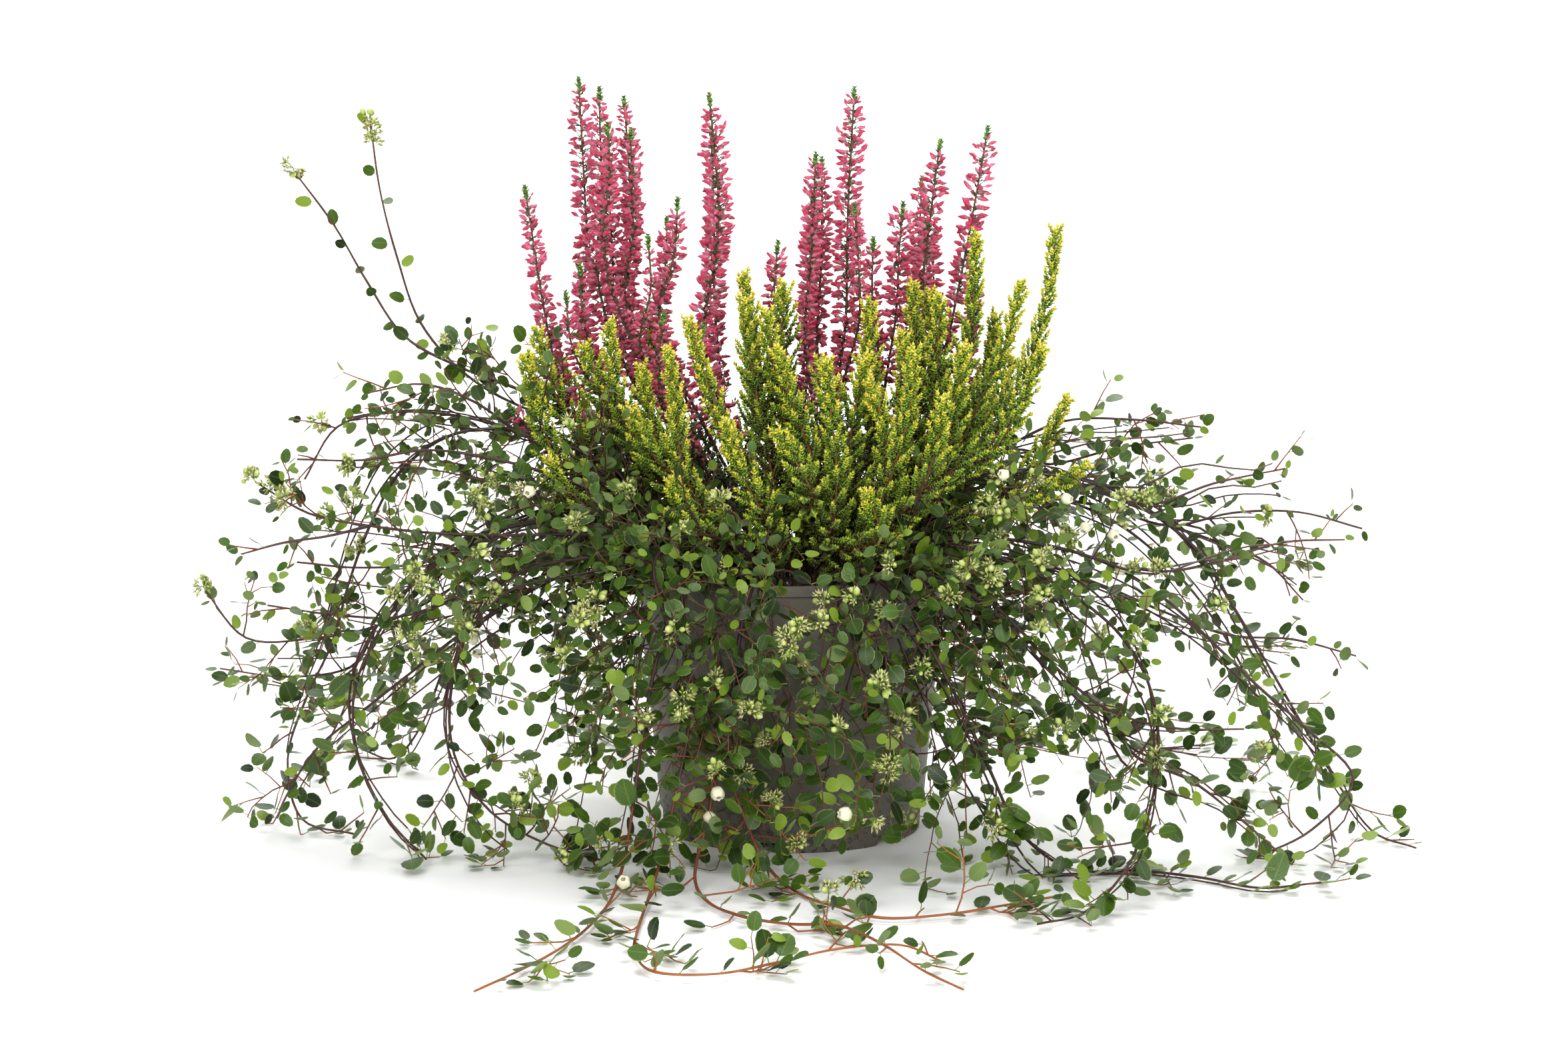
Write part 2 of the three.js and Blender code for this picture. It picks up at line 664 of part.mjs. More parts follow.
function bentCylinder(places, cornersPerRing, shapeOf) {
  const rings = places.length - 1;
  const geometry = new THREE.CylinderGeometry(1, 1, 1, cornersPerRing, rings, false);
  const ringFrames = frames(places);
  const position = geometry.attributes.position;
  for (let v = 0; v < position.count; v += 1) {
    const ring = Math.round((position.getY(v) + 0.5) * rings);
    const angle = Math.atan2(position.getZ(v), position.getX(v));
    const onAxis = Math.hypot(position.getX(v), position.getZ(v)) < 0.5;
    const spoke = Math.round((angle / (2 * Math.PI)) * cornersPerRing) + cornersPerRing;
    const { radius, lift, twist } = shapeOf(ring, spoke % cornersPerRing, onAxis);
    const { place, way, side, other } = ringFrames[ring];
    const corner = place.clone().addScaledVector(way, lift);
    if (!onAxis) {
      corner.addScaledVector(side, radius * Math.cos(angle + twist));
      corner.addScaledVector(other, radius * Math.sin(angle + twist));
    }
    position.setXYZ(v, corner.x, corner.y, corner.z);
  }
  return solid(geometry);
}

// A spike keeps the steps of its bare stem, then has even rings whose corners stand out in turn.

function spikeBody(route, sides, pitch, profile) {
  const last = route.points.length - 1;
  const curve = new THREE.CatmullRomCurve3(route.points, false, "catmullrom", 0.5);
  const firstFlowering = Math.round(route.start * last);
  const places = route.points.slice(0, firstFlowering).map((p) => p.clone());
  const fractions = places.map((p, i) => i / last);
  const stretch = route.points.slice(firstFlowering).reduce(
    (sum, p, i, all) => sum + (i ? p.distanceTo(all[i - 1]) : 0),
    0,
  );
  const rings = Math.max(3, Math.round(stretch / pitch));
  for (let i = 0; i <= rings; i += 1) {
    const fraction = THREE.MathUtils.lerp(firstFlowering / last, 1, i / rings);
    places.push(curve.getPoint(fraction));
    fractions.push(fraction);
  }
  const stemRings = firstFlowering;
  return bentCylinder(places, sides, (ring, spoke, onAxis) => {
    if (ring < stemRings) return { radius: SPRAY_STEM_RADIUS, lift: 0, twist: 0 };
    const fraction = fractions[ring];
    const at = fraction * last;
    const thin = route.thin[Math.floor(at)] || 0;
    const alsoThin = route.thin[Math.min(last, Math.ceil(at))] || 0;
    const full = Math.max(route.radiusAt(fraction) - Math.max(thin, alsoThin), SPRAY_STEM_RADIUS);
    const isTip = ring === places.length - 1;
    return profile(ring - stemRings, spoke, onAxis, full, isTip);
  });
}

function budProfile(row, spoke, onAxis, full, isTip) {
  if (isTip) return { radius: full * 0.35, lift: onAxis ? BUD_LIFT : 0, twist: row * 0.2 };
  if (row === 0) return { radius: SPRAY_STEM_RADIUS, lift: 0, twist: 0 };
  const standsOut = (row + spoke) % 2 === 0;
  return {
    radius: standsOut ? full : Math.max(full * BUD_HOLLOW, SPRAY_STEM_RADIUS),
    lift: standsOut ? BUD_LIFT : 0,
    twist: row * 0.2,
  };
}

function shootProfile(row, spoke, onAxis, full, isTip) {
  if (isTip) return { radius: SHOOT_CORE * 0.7, lift: onAxis ? BUD_LIFT : 0, twist: row * 0.3 };
  if (row === 0) return { radius: SPRAY_STEM_RADIUS, lift: 0, twist: 0 };
  const standsOut = (row + spoke) % 2 === 0;
  return {
    radius: standsOut ? full : SHOOT_CORE,
    lift: standsOut ? Math.min(SHOOT_LIFT, 1.4 * full) : 0,
    twist: row * 0.3,
  };
}

// Vine leaves: flat lens-shaped blades whose base is sunk in the stem.

function leafBody(leaf) {
  const geometry = new THREE.SphereGeometry(1, LEAF_SIDES, 2);
  const position = geometry.attributes.position;
  for (let v = 0; v < position.count; v += 1) {
    const height = position.getY(v);
    const onRim = Math.abs(height) < 0.5;
    const turn = Math.atan2(position.getZ(v), position.getX(v));
    const along = onRim ? (1 - Math.cos(turn)) / 2 : 0.45;
    const across = onRim ? Math.sin(turn) / 2 : 0;
    const corner = leaf.base.clone();
    corner.addScaledVector(leaf.way, along * leaf.length);
    corner.addScaledVector(leaf.side, across * leaf.width);
    corner.addScaledVector(leaf.up, onRim ? 0 : Math.sign(height) * LEAF_THICKNESS / 2);
    position.setXYZ(v, corner.x, corner.y, corner.z);
  }
  return solid(geometry);
}

function leafRoom(leaf) {
  return [0.35, 0.7].map((share) => ({
    centre: leaf.base.clone().addScaledVector(leaf.way, share * leaf.length),
    radius: leaf.width * 0.52,
  }));
}

function isFree(room, node, list, others) {
  for (const { centre, radius } of room) {
    const reach = Math.hypot(centre.x, centre.y);
    if (centre.z < radius + 0.2) return false;
    if (centre.z < POT_HEIGHT + radius + 1 && reach < POT_RIM_RADIUS + radius + 1) return false;
    for (const span of list) {
      if (span.route.node === node) continue;
      const p = span.route.points[span.i];
      const d = span.route.points[span.i + 1].clone().sub(p);
      const toCentre = centre.clone().sub(p);
      const s = clamp01(toCentre.dot(d) / d.dot(d));
      if (toCentre.addScaledVector(d, -s).length() < radius + span.radius + 0.5) return false;
    }
    for (const other of others) {
      if (other.node !== node && other.centre.distanceTo(centre) < other.radius + radius + 0.4) return false;
    }
  }
  return true;
}

function vineLeaves(route, list, taken, draw) {
  const leaves = [];
  const last = route.points.length - 1;
  const frame = frames(route.points);
  let carried = 0;
  for (let i = route.tie ? 1 : 3; i <= last; i += 1) {
    const [before, after] = [route.points[i - 1], route.points[i]];
    carried += after.distanceTo(before);
    if (carried < LEAF_SPACING && i < last) continue;
    const place = before.clone().lerp(after, i < last ? 0.5 : 0.85);
    const { way, side, other } = frame[i];
    const size = 0.8 + 0.35 * draw();
    for (let tries = 0; tries < LEAF_TRIES; tries += 1) {
      const turn = (2 * Math.PI * (Math.floor(3 * draw()) + 0.5)) / VINE_SIDES;
      const out = side.clone().multiplyScalar(Math.cos(turn)).addScaledVector(other, Math.sin(turn));
      out.addScaledVector(way, 0.3).normalize();
      const outward = new THREE.Vector3(place.x, place.y, 0).normalize();
      const up = outward.addScaledVector(new THREE.Vector3(draw() - 0.5, draw() - 0.5, 0.8), 1);
      up.addScaledVector(out, -up.dot(out)).normalize();
      const leaf = {
        base: place,
        way: out,
        side: up.clone().cross(out),
        up,
        length: LEAF_LENGTH * size,
        width: LEAF_WIDTH * size,
      };
      const room = leafRoom(leaf);
      if (!isFree(room, route.node, list, taken)) continue;
      taken.push(...room.map((ball) => ({ ...ball, node: route.node })));
      leaves.push(leafBody(leaf));
      carried = 0;
      break;
    }
  }
  return leaves;
}

// Soil, with one plain hole for each rooted stem

function soilHeight(x, y) {
  return SOIL_BUMP * (Math.sin(x * 0.21 + 1) * Math.cos(y * 0.17) + 0.4 * Math.sin(x * 0.09 - y * 0.13));
}

function makeSoil(roots) {
  const innerFoot = wallFoot - POT_WALL - FLOOR_LIFT / 8;
  const kneeRadius = wallRadius(FOOT_HEIGHT + 3) - POT_WALL - FIT_GAP;
  const wallAtTop = THREE.MathUtils.mapLinear(
    SOIL_TOP, FOOT_HEIGHT + 3, POT_HEIGHT, kneeRadius + FIT_GAP, wallTop - POT_WALL,
  );
  const geometry = turned([
    [0, POT_WALL + FIT_GAP],
    [PAD_RADIUS + 1 - FIT_GAP, POT_WALL + FIT_GAP],
    [PAD_RADIUS + 2.5 - FIT_GAP, FLOOR_LIFT + POT_WALL + FIT_GAP],
    [innerFoot - 2 - FIT_GAP, FLOOR_LIFT + POT_WALL + FIT_GAP],
    [kneeRadius, FOOT_HEIGHT + 3],
    [wallAtTop - FIT_GAP, SOIL_TOP],
    [SOIL_RIDGE, SOIL_TOP],
    [0, SOIL_TOP],
  ]);
  const position = geometry.attributes.position;
  for (let v = 0; v < position.count; v += 1) {
    const [x, y] = [position.getX(v), position.getY(v)];
    const isTop = position.getZ(v) > SOIL_TOP - 0.01 && Math.hypot(x, y) < SOIL_RIDGE + 1;
    if (isTop) position.setZ(v, SOIL_TOP + soilHeight(x, y));
  }
  let body = solid(geometry);
  for (const { foot, radius } of roots) {
    const holeRadius = (radius + FIT_GAP) / Math.cos(Math.PI / HOLE_SIDES);
    const depth = ROOT_DEPTH + FIT_GAP;
    const hole = new THREE.CylinderGeometry(holeRadius, holeRadius, 2 * depth, HOLE_SIDES);
    hole.rotateX(Math.PI / 2).translate(foot.x, foot.y, foot.z + ROOT_DEPTH);
    body = body.subtract(solid(hole));
  }
  return body;
}

// Materials

const finish = (color, roughness) => new THREE.MeshStandardMaterial({ color, roughness, metalness: 0 });
const POT_FINISH = finish(0x6b655f, 0.55);
const SOIL_FINISH = finish(0x1b1512, 0.95);
const BUD_FINISH = finish(0xd0466a, 0.6);
const FOLIAGE_FINISH = finish(0x9db23f, 0.6);
const VINE_FINISH = finish(0x3e6b34, 0.5);

// Assembly

const nodeName = (kind, number) => `${kind}_${String(number + 1).padStart(2, "0")}`;

const stemRoutes = VINES.map((stems, i) => vineRoutes(nodeName("vine", i), stems));
const foliageRoutes = FOLIAGE_SPRAYS.map((spikes, i) => {
  const measured = spikes.map((points) => [2 * SHOOT_REACH, ...points]);
  return sprayRoutes(nodeName("foliage_spray", i), measured, shootRadius);
});
const budRoutes = BUD_SPRAYS.map((spikes, i) => sprayRoutes(nodeName("bud_spray", i), spikes, budRadius));
const allRoutes = [...budRoutes, ...foliageRoutes, ...stemRoutes].flat();
spread(allRoutes);
thinWhereCrowded(allRoutes);

const heather = new THREE.Group();

function addNode(name, body, material) {
  const mesh = new THREE.Mesh(geometryOf(body), material);
  mesh.name = name;
  heather.add(mesh);
}

addNode("pot", makePot(), POT_FINISH);
addNode("soil", makeSoil(allRoutes.filter((route) => !route.tie).map((route) => ({
  foot: route.points[0],
  radius: route.radiusAt(0),
}))), SOIL_FINISH);

for (const routes of budRoutes) {
  const spikes = routes.map((route) => spikeBody(route, BUD_SIDES, BUD_PITCH, budProfile));
  addNode(routes[0].node, joined(spikes), BUD_FINISH);
}

for (const routes of foliageRoutes) {
  const spikes = routes.map((route) => spikeBody(route, SHOOT_SIDES, SHOOT_PITCH, shootProfile));
  addNode(routes[0].node, joined(spikes), FOLIAGE_FINISH);
}

const allSpans = spans(allRoutes);
const takenRoom = [];
const draw = random(LEAF_SEED);
for (const routes of stemRoutes) {
  const parts = [];
  for (const route of routes) {
    const last = route.points.length - 1;
    parts.push(bentCylinder(route.points, VINE_SIDES, (ring) => ({
      radius: route.radiusAt(ring / last),
      lift: 0,
      twist: 0,
    })));
    parts.push(...vineLeaves(route, allSpans, takenRoom, draw));
  }
  addNode(routes[0].node, joined(parts), VINE_FINISH);
}

export default heather;
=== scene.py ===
"""Potted heather: a bud heather, a foliage heather and a trailing wire vine in a round nursery pot.

The frame holds the pot, the soil and a solid for each spray and vine. Each plant is built again here
along the same stems, with its real buds, scale leaves, leaves and flowers.
"""

import json
from dataclasses import dataclass
from functools import cache
from math import cos, hypot, pi, radians, sin, sqrt

import bmesh
import bpy
import numpy as np
from mathutils import Matrix, Vector, noise

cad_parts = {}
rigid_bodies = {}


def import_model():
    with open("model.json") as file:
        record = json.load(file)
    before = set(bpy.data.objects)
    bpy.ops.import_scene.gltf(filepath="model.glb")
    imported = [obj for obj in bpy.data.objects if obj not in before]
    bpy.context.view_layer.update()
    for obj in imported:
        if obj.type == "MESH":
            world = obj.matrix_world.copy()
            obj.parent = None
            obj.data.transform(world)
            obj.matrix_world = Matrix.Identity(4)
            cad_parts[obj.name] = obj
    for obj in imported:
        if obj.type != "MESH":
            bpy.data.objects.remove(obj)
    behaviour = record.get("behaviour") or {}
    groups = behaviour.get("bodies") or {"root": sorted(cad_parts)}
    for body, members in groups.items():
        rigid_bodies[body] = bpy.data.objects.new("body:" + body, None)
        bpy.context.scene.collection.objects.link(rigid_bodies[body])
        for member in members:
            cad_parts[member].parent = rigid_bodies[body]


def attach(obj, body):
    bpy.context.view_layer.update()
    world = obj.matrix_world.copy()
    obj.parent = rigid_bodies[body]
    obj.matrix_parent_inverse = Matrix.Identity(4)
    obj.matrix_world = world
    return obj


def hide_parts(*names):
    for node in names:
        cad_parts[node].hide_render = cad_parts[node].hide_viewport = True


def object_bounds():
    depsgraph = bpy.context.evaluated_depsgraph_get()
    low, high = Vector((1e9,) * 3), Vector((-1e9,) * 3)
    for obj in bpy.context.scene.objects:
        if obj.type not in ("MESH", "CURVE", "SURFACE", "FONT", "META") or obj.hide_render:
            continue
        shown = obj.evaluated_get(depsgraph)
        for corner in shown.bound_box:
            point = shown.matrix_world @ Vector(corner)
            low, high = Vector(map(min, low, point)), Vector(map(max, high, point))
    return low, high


bl_info = {
    "name": "Potted heather",
    "version": (1, 0, 0),
    "blender": (4, 5, 0),
    "location": "View3D > Sidebar > Potted heather",
    "description": "Dresses a pot of heather and wire vine with buds, leaves, flowers and soil",
    "category": "Object",
}

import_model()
CAD_LOW, CAD_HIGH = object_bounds()

# Driving dimensions of the stems, in millimetres as in the frame's source

MM = 0.001
POT_HEIGHT = 112
POT_RIM_RADIUS = 65.5
POT_RIM_BAND = 4.6
POT_RIM_STEP = 1.2
POT_WALL = 1.4
FOOT_HEIGHT = 9.5
FOOT_RADIUS = 54.2
FOOT_STEP = 1
FOOT_WALL = 3.2
PAD_RADIUS = 40
FLOOR_LIFT = 4
NOTCH_COUNT = 6
NOTCH_WIDTH = 18
NOTCH_HEIGHT = 4.2
NOTCH_START = 0.32
DRAIN_RADIUS = 3.5
DRAIN_PLACE = 45.5
WALL_FOOT = FOOT_RADIUS + FOOT_STEP
WALL_TOP = POT_RIM_RADIUS - POT_RIM_STEP
INNER_FOOT = WALL_FOOT - POT_WALL - FLOOR_LIFT / 8
KNEE_HEIGHT = FOOT_HEIGHT + 3

FIT_GAP = 0.35
SOIL_TOP = 100
ROOT_DEPTH = 9
ROOT_RISE = 5
PLANTING_RADIUS = 52
PLANTING_PLACES = 62
SPRAY_ROOT_PULL = 0.44
VINE_ROOT_PULL = 0.8
TURN = 2 * pi
GOLDEN_ANGLE = pi * (3 - sqrt(5))

SPRAY_STEM_RADIUS = 1.25
SPRAY_STEP = 24
FORK_HEIGHT = 118
SHOOT_REACH = 6.2
TIP_REACH = 2.9
VINE_STEP = 27
VINE_RADIUS = 1.05
VINE_TIP_RADIUS = 0.6

ARC_DIVISIONS = 200
CLEARANCE = 0.9
PUSH_SHARE = 0.4
SMOOTH_SHARE = 0.05
POT_ROOM = 2.2
RIM_MIDDLE = POT_RIM_RADIUS - 1.3
RIM_INSIDE = RIM_MIDDLE - 3
RIM_ZONE = 8
FLOOR_ROOM = 0.5
SPREAD_ROUNDS = 300
PAIR_REFRESH = 6
PAIR_MARGIN = 8


# Spikes of the bud heather, in sprays. A spike is its bud width, then points from its lowest bud to its tip.

BUD_SPRAYS = [
    [[10.5, [-93, 12, 178], [-106, 8, 240], [-110, 5, 268]],
     [9, [-96, -5, 155], [-107, -8, 167], [-117, -10, 179]]],
    [[12.5, [-81, 30, 187], [-86, 34, 251], [-89, 36, 311]],
     [9, [-82, 2, 196], [-85, -2, 213], [-87, -4, 236]]],
    [[11.5, [-76, 18, 211], [-78, 20, 261], [-79, 22, 308]],
     [11, [-72, 58, 196], [-76, 60, 240], [-78, 62, 280]]],
    [[10.5, [-73, 8, 220], [-75, 6, 273], [-76, 4, 294]],
     [9, [-85, -4, 188], [-89, -6, 205], [-93, -8, 226]]],
    [[11.5, [-66, 40, 203], [-67, 42, 259], [-70, 44, 303]]],
    [[10.5, [-64, 24, 206], [-65, 26, 247], [-66, 27, 291]],
     [8, [-59, -2, 191], [-57, -6, 224], [-58, -8, 249]]],
    [[10.5, [-52, 10, 201], [-49, 8, 234], [-47, 6, 263]],
     [8, [-56, -10, 181], [-54, -12, 200], [-53, -14, 217]]],
    [[10, [-55, 28, 199], [-55, 28, 227], [-54, 28, 253]],
     [11, [-32, 52, 200], [-33, 55, 244], [-34, 57, 286]]],
    [[13.5, [-34, 8, 190], [-30, 6, 253], [-34, 4, 306]],
     [9, [-36, -8, 180], [-36, -10, 197], [-36, -12, 213]]],
    [[10, [-6, 10, 206], [-6, 8, 226], [-5, 8, 245]], [11, [8, 52, 190], [10, 58, 226], [10, 62, 262]]],
    [[11.5, [5, 10, 195], [7, 12, 239], [9, 14, 281]], [11, [10, 26, 194], [12, 30, 238], [12, 32, 278]]],
    [[13, [19, 6, 195], [22, 4, 254], [25, 4, 308]], [9, [27, -8, 208], [28, -12, 236], [26, -14, 262]]],
    [[13, [43, 8, 212], [44, 6, 234], [46, 5, 261]], [9, [36, 6, 201], [33, 14, 226], [34, 16, 246]]],
    [[12.5, [52, 18, 205], [57, 20, 247], [62, 22, 286]], [10, [60, 38, 212], [58, 40, 232], [57, 42, 251]],
     [11, [50, 56, 190], [54, 62, 230], [56, 66, 268]]],
    [[12.5, [69, 4, 223], [75, 4, 256], [81, 4, 292]], [9, [69, -2, 185], [73, -4, 213], [74, -5, 233]]],
]

# Spikes of the foliage heather, in sprays, from the lowest side shoot to the tip.

FOLIAGE_SPRAYS = [
    [[[-87, -25, 150], [-100, -25, 172], [-108, -25, 201]],
     [[-82, -8, 158], [-96, -10, 186], [-103, -12, 212]],
     [[-86, -40, 139], [-92, -44, 150], [-97, -46, 159]]],
    [[[-62, -28, 164], [-72, -28, 191], [-74, -28, 214]],
     [[-70, -18, 171], [-79, -18, 190], [-85, -18, 204]],
     [[-51, -32, 158], [-58, -34, 180], [-61, -34, 197]]],
    [[[-40, -48, 146], [-46, -50, 180], [-50, -50, 206]],
     [[-53, -44, 158], [-62, -46, 172], [-66, -48, 182]],
     [[-36, -58, 130], [-44, -62, 143], [-48, -64, 155]]],
    [[[-13, -48, 146], [-30, -46, 180], [-42, -40, 217]],
     [[-12, -52, 140], [-22, -56, 160], [-26, -58, 178]]],
    [[[-12, -18, 171], [-17, -18, 201], [-19, -20, 223]], [[-13, 0, 191], [-17, -2, 213], [-20, -2, 232]],
     [[-5, -4, 191], [-3, -6, 210], [-3, -8, 228]]],
    [[[2, -22, 171], [-8, -26, 198], [-10, -28, 219]], [[13, -38, 150], [4, -40, 179], [-3, -42, 206]],
     [[8, -54, 148], [0, -58, 161], [-6, -60, 174]]],
    [[[18, -52, 145], [16, -54, 175], [14, -52, 202]], [[15, -28, 165], [14, -28, 182], [12, -28, 198]],
     [[34, -58, 128], [33, -64, 140], [30, -66, 150]]],
    [[[31, -16, 170], [31, -18, 195], [31, -18, 222]], [[20, -36, 164], [26, -36, 184], [28, -38, 202]],
     [[44, -44, 157], [39, -46, 176], [35, -46, 191]]],
    [[[37, -52, 148], [46, -54, 180], [48, -54, 206]], [[43, -28, 169], [43, -28, 193], [42, -28, 211]],
     [[52, -60, 150], [58, -64, 172], [60, -64, 188]]],
    [[[53, -12, 176], [52, -10, 203], [50, -10, 228]], [[59, 2, 190], [60, -2, 207], [60, -2, 224]],
     [[58, -24, 171], [60, -22, 198], [61, -22, 224]]],
    [[[62, -8, 178], [71, -16, 216], [73, -16, 249]], [[56, -38, 162], [64, -40, 186], [68, -42, 207]],
     [[67, 6, 168], [80, 8, 190], [84, 10, 214]]],
    [[[73, -22, 172], [86, -20, 200], [94, -18, 229]], [[70, 4, 146], [84, 10, 173], [92, 14, 195]]],
    [[[80, -20, 160], [101, -18, 209], [108, -16, 252]], [[90, -6, 142], [106, -2, 164], [114, 0, 180]]],
    [[[56, -46, 150], [84, -46, 168], [101, -44, 206]], [[86, -34, 138], [106, -34, 146], [120, -34, 156]]],
    [[[-50, 48, 158], [-60, 56, 186], [-64, 58, 210]], [[-18, 56, 160], [-18, 66, 188], [-20, 68, 212]],
     [[-72, 40, 150], [-90, 46, 172], [-100, 46, 194]]],
    [[[34, 52, 158], [34, 64, 184], [34, 68, 208]], [[68, 40, 152], [82, 46, 180], [88, 48, 204]],
     [[4, 62, 140], [2, 76, 160], [0, 80, 182]]],
]

# Stems of the wire vine: main routes from the crown outward, then side stems with the place they leave.

VINES = [
    [[[-60, -5, 140], [-90, -6, 172], [-121, -2, 187], [-146, 2, 196], [-162, 8, 206], [-177, 12, 228],
      [-190, 12, 251], [-206, 12, 273]],
     [1, [-118, 10, 177], [-138, 18, 189], [-154, 24, 206], [-163, 26, 226], [-168, 28, 250],
      [-174, 30, 270], [-176, 30, 292]]],
    [[[-55, -28, 135], [-80, -28, 154], [-117, -22, 170], [-147, -20, 176], [-180, -18, 174],
      [-194, -20, 161], [-200, -22, 149]],
     [2, [-134, -28, 184], [-156, -32, 190], [-172, -32, 186]]],
    [[[-50, -38, 130], [-78, -42, 146], [-115, -42, 159], [-158, -42, 164], [-182, -42, 157],
      [-200, -42, 160]]],
    [[[-45, -46, 124], [-77, -54, 131], [-132, -52, 131], [-172, -46, 134], [-203, -38, 140],
      [-218, -34, 150]],
     [3, [-190, -54, 130], [-206, -56, 128], [-221, -58, 124]]],
    [[[-50, 5, 130], [-84, 2, 138], [-125, 0, 126], [-150, 0, 113], [-180, -2, 110], [-206, 0, 112]]],
    [[[-48, 24, 128], [-84, 24, 130], [-130, 24, 106], [-165, 24, 84], [-195, 22, 77], [-222, 22, 73],
      [-241, 22, 82], [-248, 22, 96]],
     [3, [-182, 34, 64], [-208, 36, 56], [-244, 34, 60]]],
    [[[-52, -10, 126], [-86, -10, 122], [-130, -8, 102], [-160, -6, 90], [-190, -4, 90], [-218, -4, 94]]],
    [[[-48, -16, 130], [-80, -14, 156], [-115, -12, 168], [-146, -10, 164], [-163, -12, 148],
      [-179, -14, 117], [-189, -14, 83], [-204, -14, 50], [-210, -16, 22], [-200, -22, 4], [-180, -30, 2.5]]],
    [[[-46, -34, 122], [-84, -36, 136], [-122, -44, 132], [-147, -52, 118], [-168, -54, 90], [-178, -54, 60],
      [-172, -54, 30], [-156, -60, 6], [-147, -72, 2.5]]],
    [[[-36, -46, 120], [-74, -62, 124], [-112, -64, 116], [-131, -64, 90], [-138, -64, 57], [-130, -66, 30],
      [-112, -68, 14], [-90, -72, 5], [-72, -80, 2.5]]],
    [[[-44, -4, 124], [-78, -26, 118], [-120, -36, 98], [-150, -36, 76], [-175, -34, 56], [-198, -30, 36],
      [-211, -20, 14], [-216, -2, 3]]],
    [[[-30, -50, 118], [-44, -72, 112], [-54, -84, 84], [-60, -92, 50], [-64, -106, 20], [-68, -130, 5],
      [-74, -170, 2.5], [-84, -210, 2.5], [-98, -244, 2.5], [-112, -272, 2.5]],
     [1, [-40, -88, 70], [-46, -98, 34], [-52, -118, 10], [-56, -150, 2.5], [-58, -196, 2.5],
      [-56, -228, 2.5], [-42, -254, 2.5], [-14, -240, 2.5], [14, -216, 2.5], [36, -206, 2.5],
      [54, -232, 2.5]]],
    [[[-10, -54, 118], [-18, -76, 108], [-24, -86, 70], [-32, -98, 30], [-38, -116, 8], [-34, -140, 2.5],
      [-14, -172, 2.5], [8, -194, 6], [24, -212, 9], [44, -244, 4], [60, -270, 2.5]]],
    [[[-20, -50, 124], [-44, -70, 134], [-56, -84, 118], [-42, -90, 88], [-28, -90, 50], [-16, -98, 18],
      [-4, -116, 3], [16, -150, 2.5], [32, -168, 2.5], [53, -166, 2.5], [80, -150, 2.5], [104, -134, 2.5]]],
    [[[40, -44, 124], [70, -54, 126], [100, -66, 116], [128, -84, 98], [142, -104, 72], [140, -126, 42],
      [128, -146, 16], [112, -160, 3], [92, -178, 2.5]]],
    [[[44, -16, 132], [82, -22, 152], [126, -22, 145], [162, -22, 125], [187, -22, 88], [206, -22, 56],
      [224, -24, 26], [240, -32, 4], [254, -54, 2.5]],
     [2, [152, -16, 138], [181, -14, 150], [203, -14, 153]]],
    [[[44, -34, 124], [84, -48, 130], [132, -52, 118], [165, -52, 92], [188, -52, 70], [206, -54, 54],
      [226, -58, 38], [222, -62, 22], [202, -66, 8], [186, -72, 2.5]],
     [2, [160, -48, 116], [190, -44, 126], [224, -42, 128]]],
    [[[40, 0, 132], [78, -4, 152], [98, 2, 166], [120, 2, 171], [144, 0, 171], [170, 0, 168]],
     [1, [100, 14, 150], [124, 14, 154], [150, 12, 161], [168, 12, 162]]],
    [[[50, 8, 130], [90, 6, 138], [130, 6, 134], [160, 4, 126], [186, 4, 132], [211, 4, 132], [238, 4, 125]],
     [3, [189, 14, 114], [205, 18, 105], [216, 20, 92]]],
    [[[48, -6, 122], [92, -6, 118], [140, -4, 100], [170, -2, 86], [190, 0, 81], [210, 0, 80],
      [236, 0, 73]]],
    [[[30, -50, 120], [62, -68, 118], [92, -78, 96], [114, -82, 72], [140, -82, 60], [160, -80, 57],
      [180, -80, 57]],
     [3, [130, -84, 50], [152, -76, 40], [174, -74, 24], [200, -84, 2.5]]],
    [[[14, -54, 118], [40, -78, 112], [62, -92, 78], [78, -96, 44], [94, -98, 14], [112, -94, 3],
      [134, -92, 2.5], [160, -104, 2.5], [184, -122, 2.5], [207, -113, 2.5]]],
    [[[-30, 44, 122], [-62, 62, 128], [-104, 82, 112], [-136, 94, 80], [-156, 102, 44], [-168, 108, 14],
      [-180, 120, 2.5], [-196, 140, 2.5]],
     [1, [-90, 56, 134], [-128, 62, 118], [-160, 68, 92], [-184, 72, 60], [-200, 76, 26], [-214, 84, 2.5]]],
    [[[-10, 50, 122], [-24, 76, 122], [-50, 108, 96], [-66, 130, 60], [-74, 146, 24], [-84, 164, 3],
      [-96, 196, 2.5], [-90, 226, 2.5]]],
    [[[8, 50, 122], [20, 78, 120], [28, 104, 92], [30, 122, 56], [34, 140, 20], [40, 164, 3], [52, 200, 2.5],
      [48, 236, 2.5]]],
    [[[26, 46, 122], [58, 66, 126], [92, 88, 110], [118, 104, 80], [136, 118, 44], [148, 130, 12],
      [164, 144, 2.5], [190, 150, 2.5]]],
    [[[44, 24, 128], [84, 34, 136], [126, 44, 128], [160, 52, 104], [186, 58, 72], [204, 62, 38],
      [216, 66, 8], [224, 76, 2.5]]],
]


# Routes: an even line along a smooth curve through the given points, in millimetres


@dataclass
class Route:
    node: str
    home: np.ndarray
    fixed: int = 0
    parent: "Route" = None
    leaves_at: int = 0
    radii: np.ndarray = None
    start: float = 0.0
    width: float = 0.0
    points: np.ndarray = None


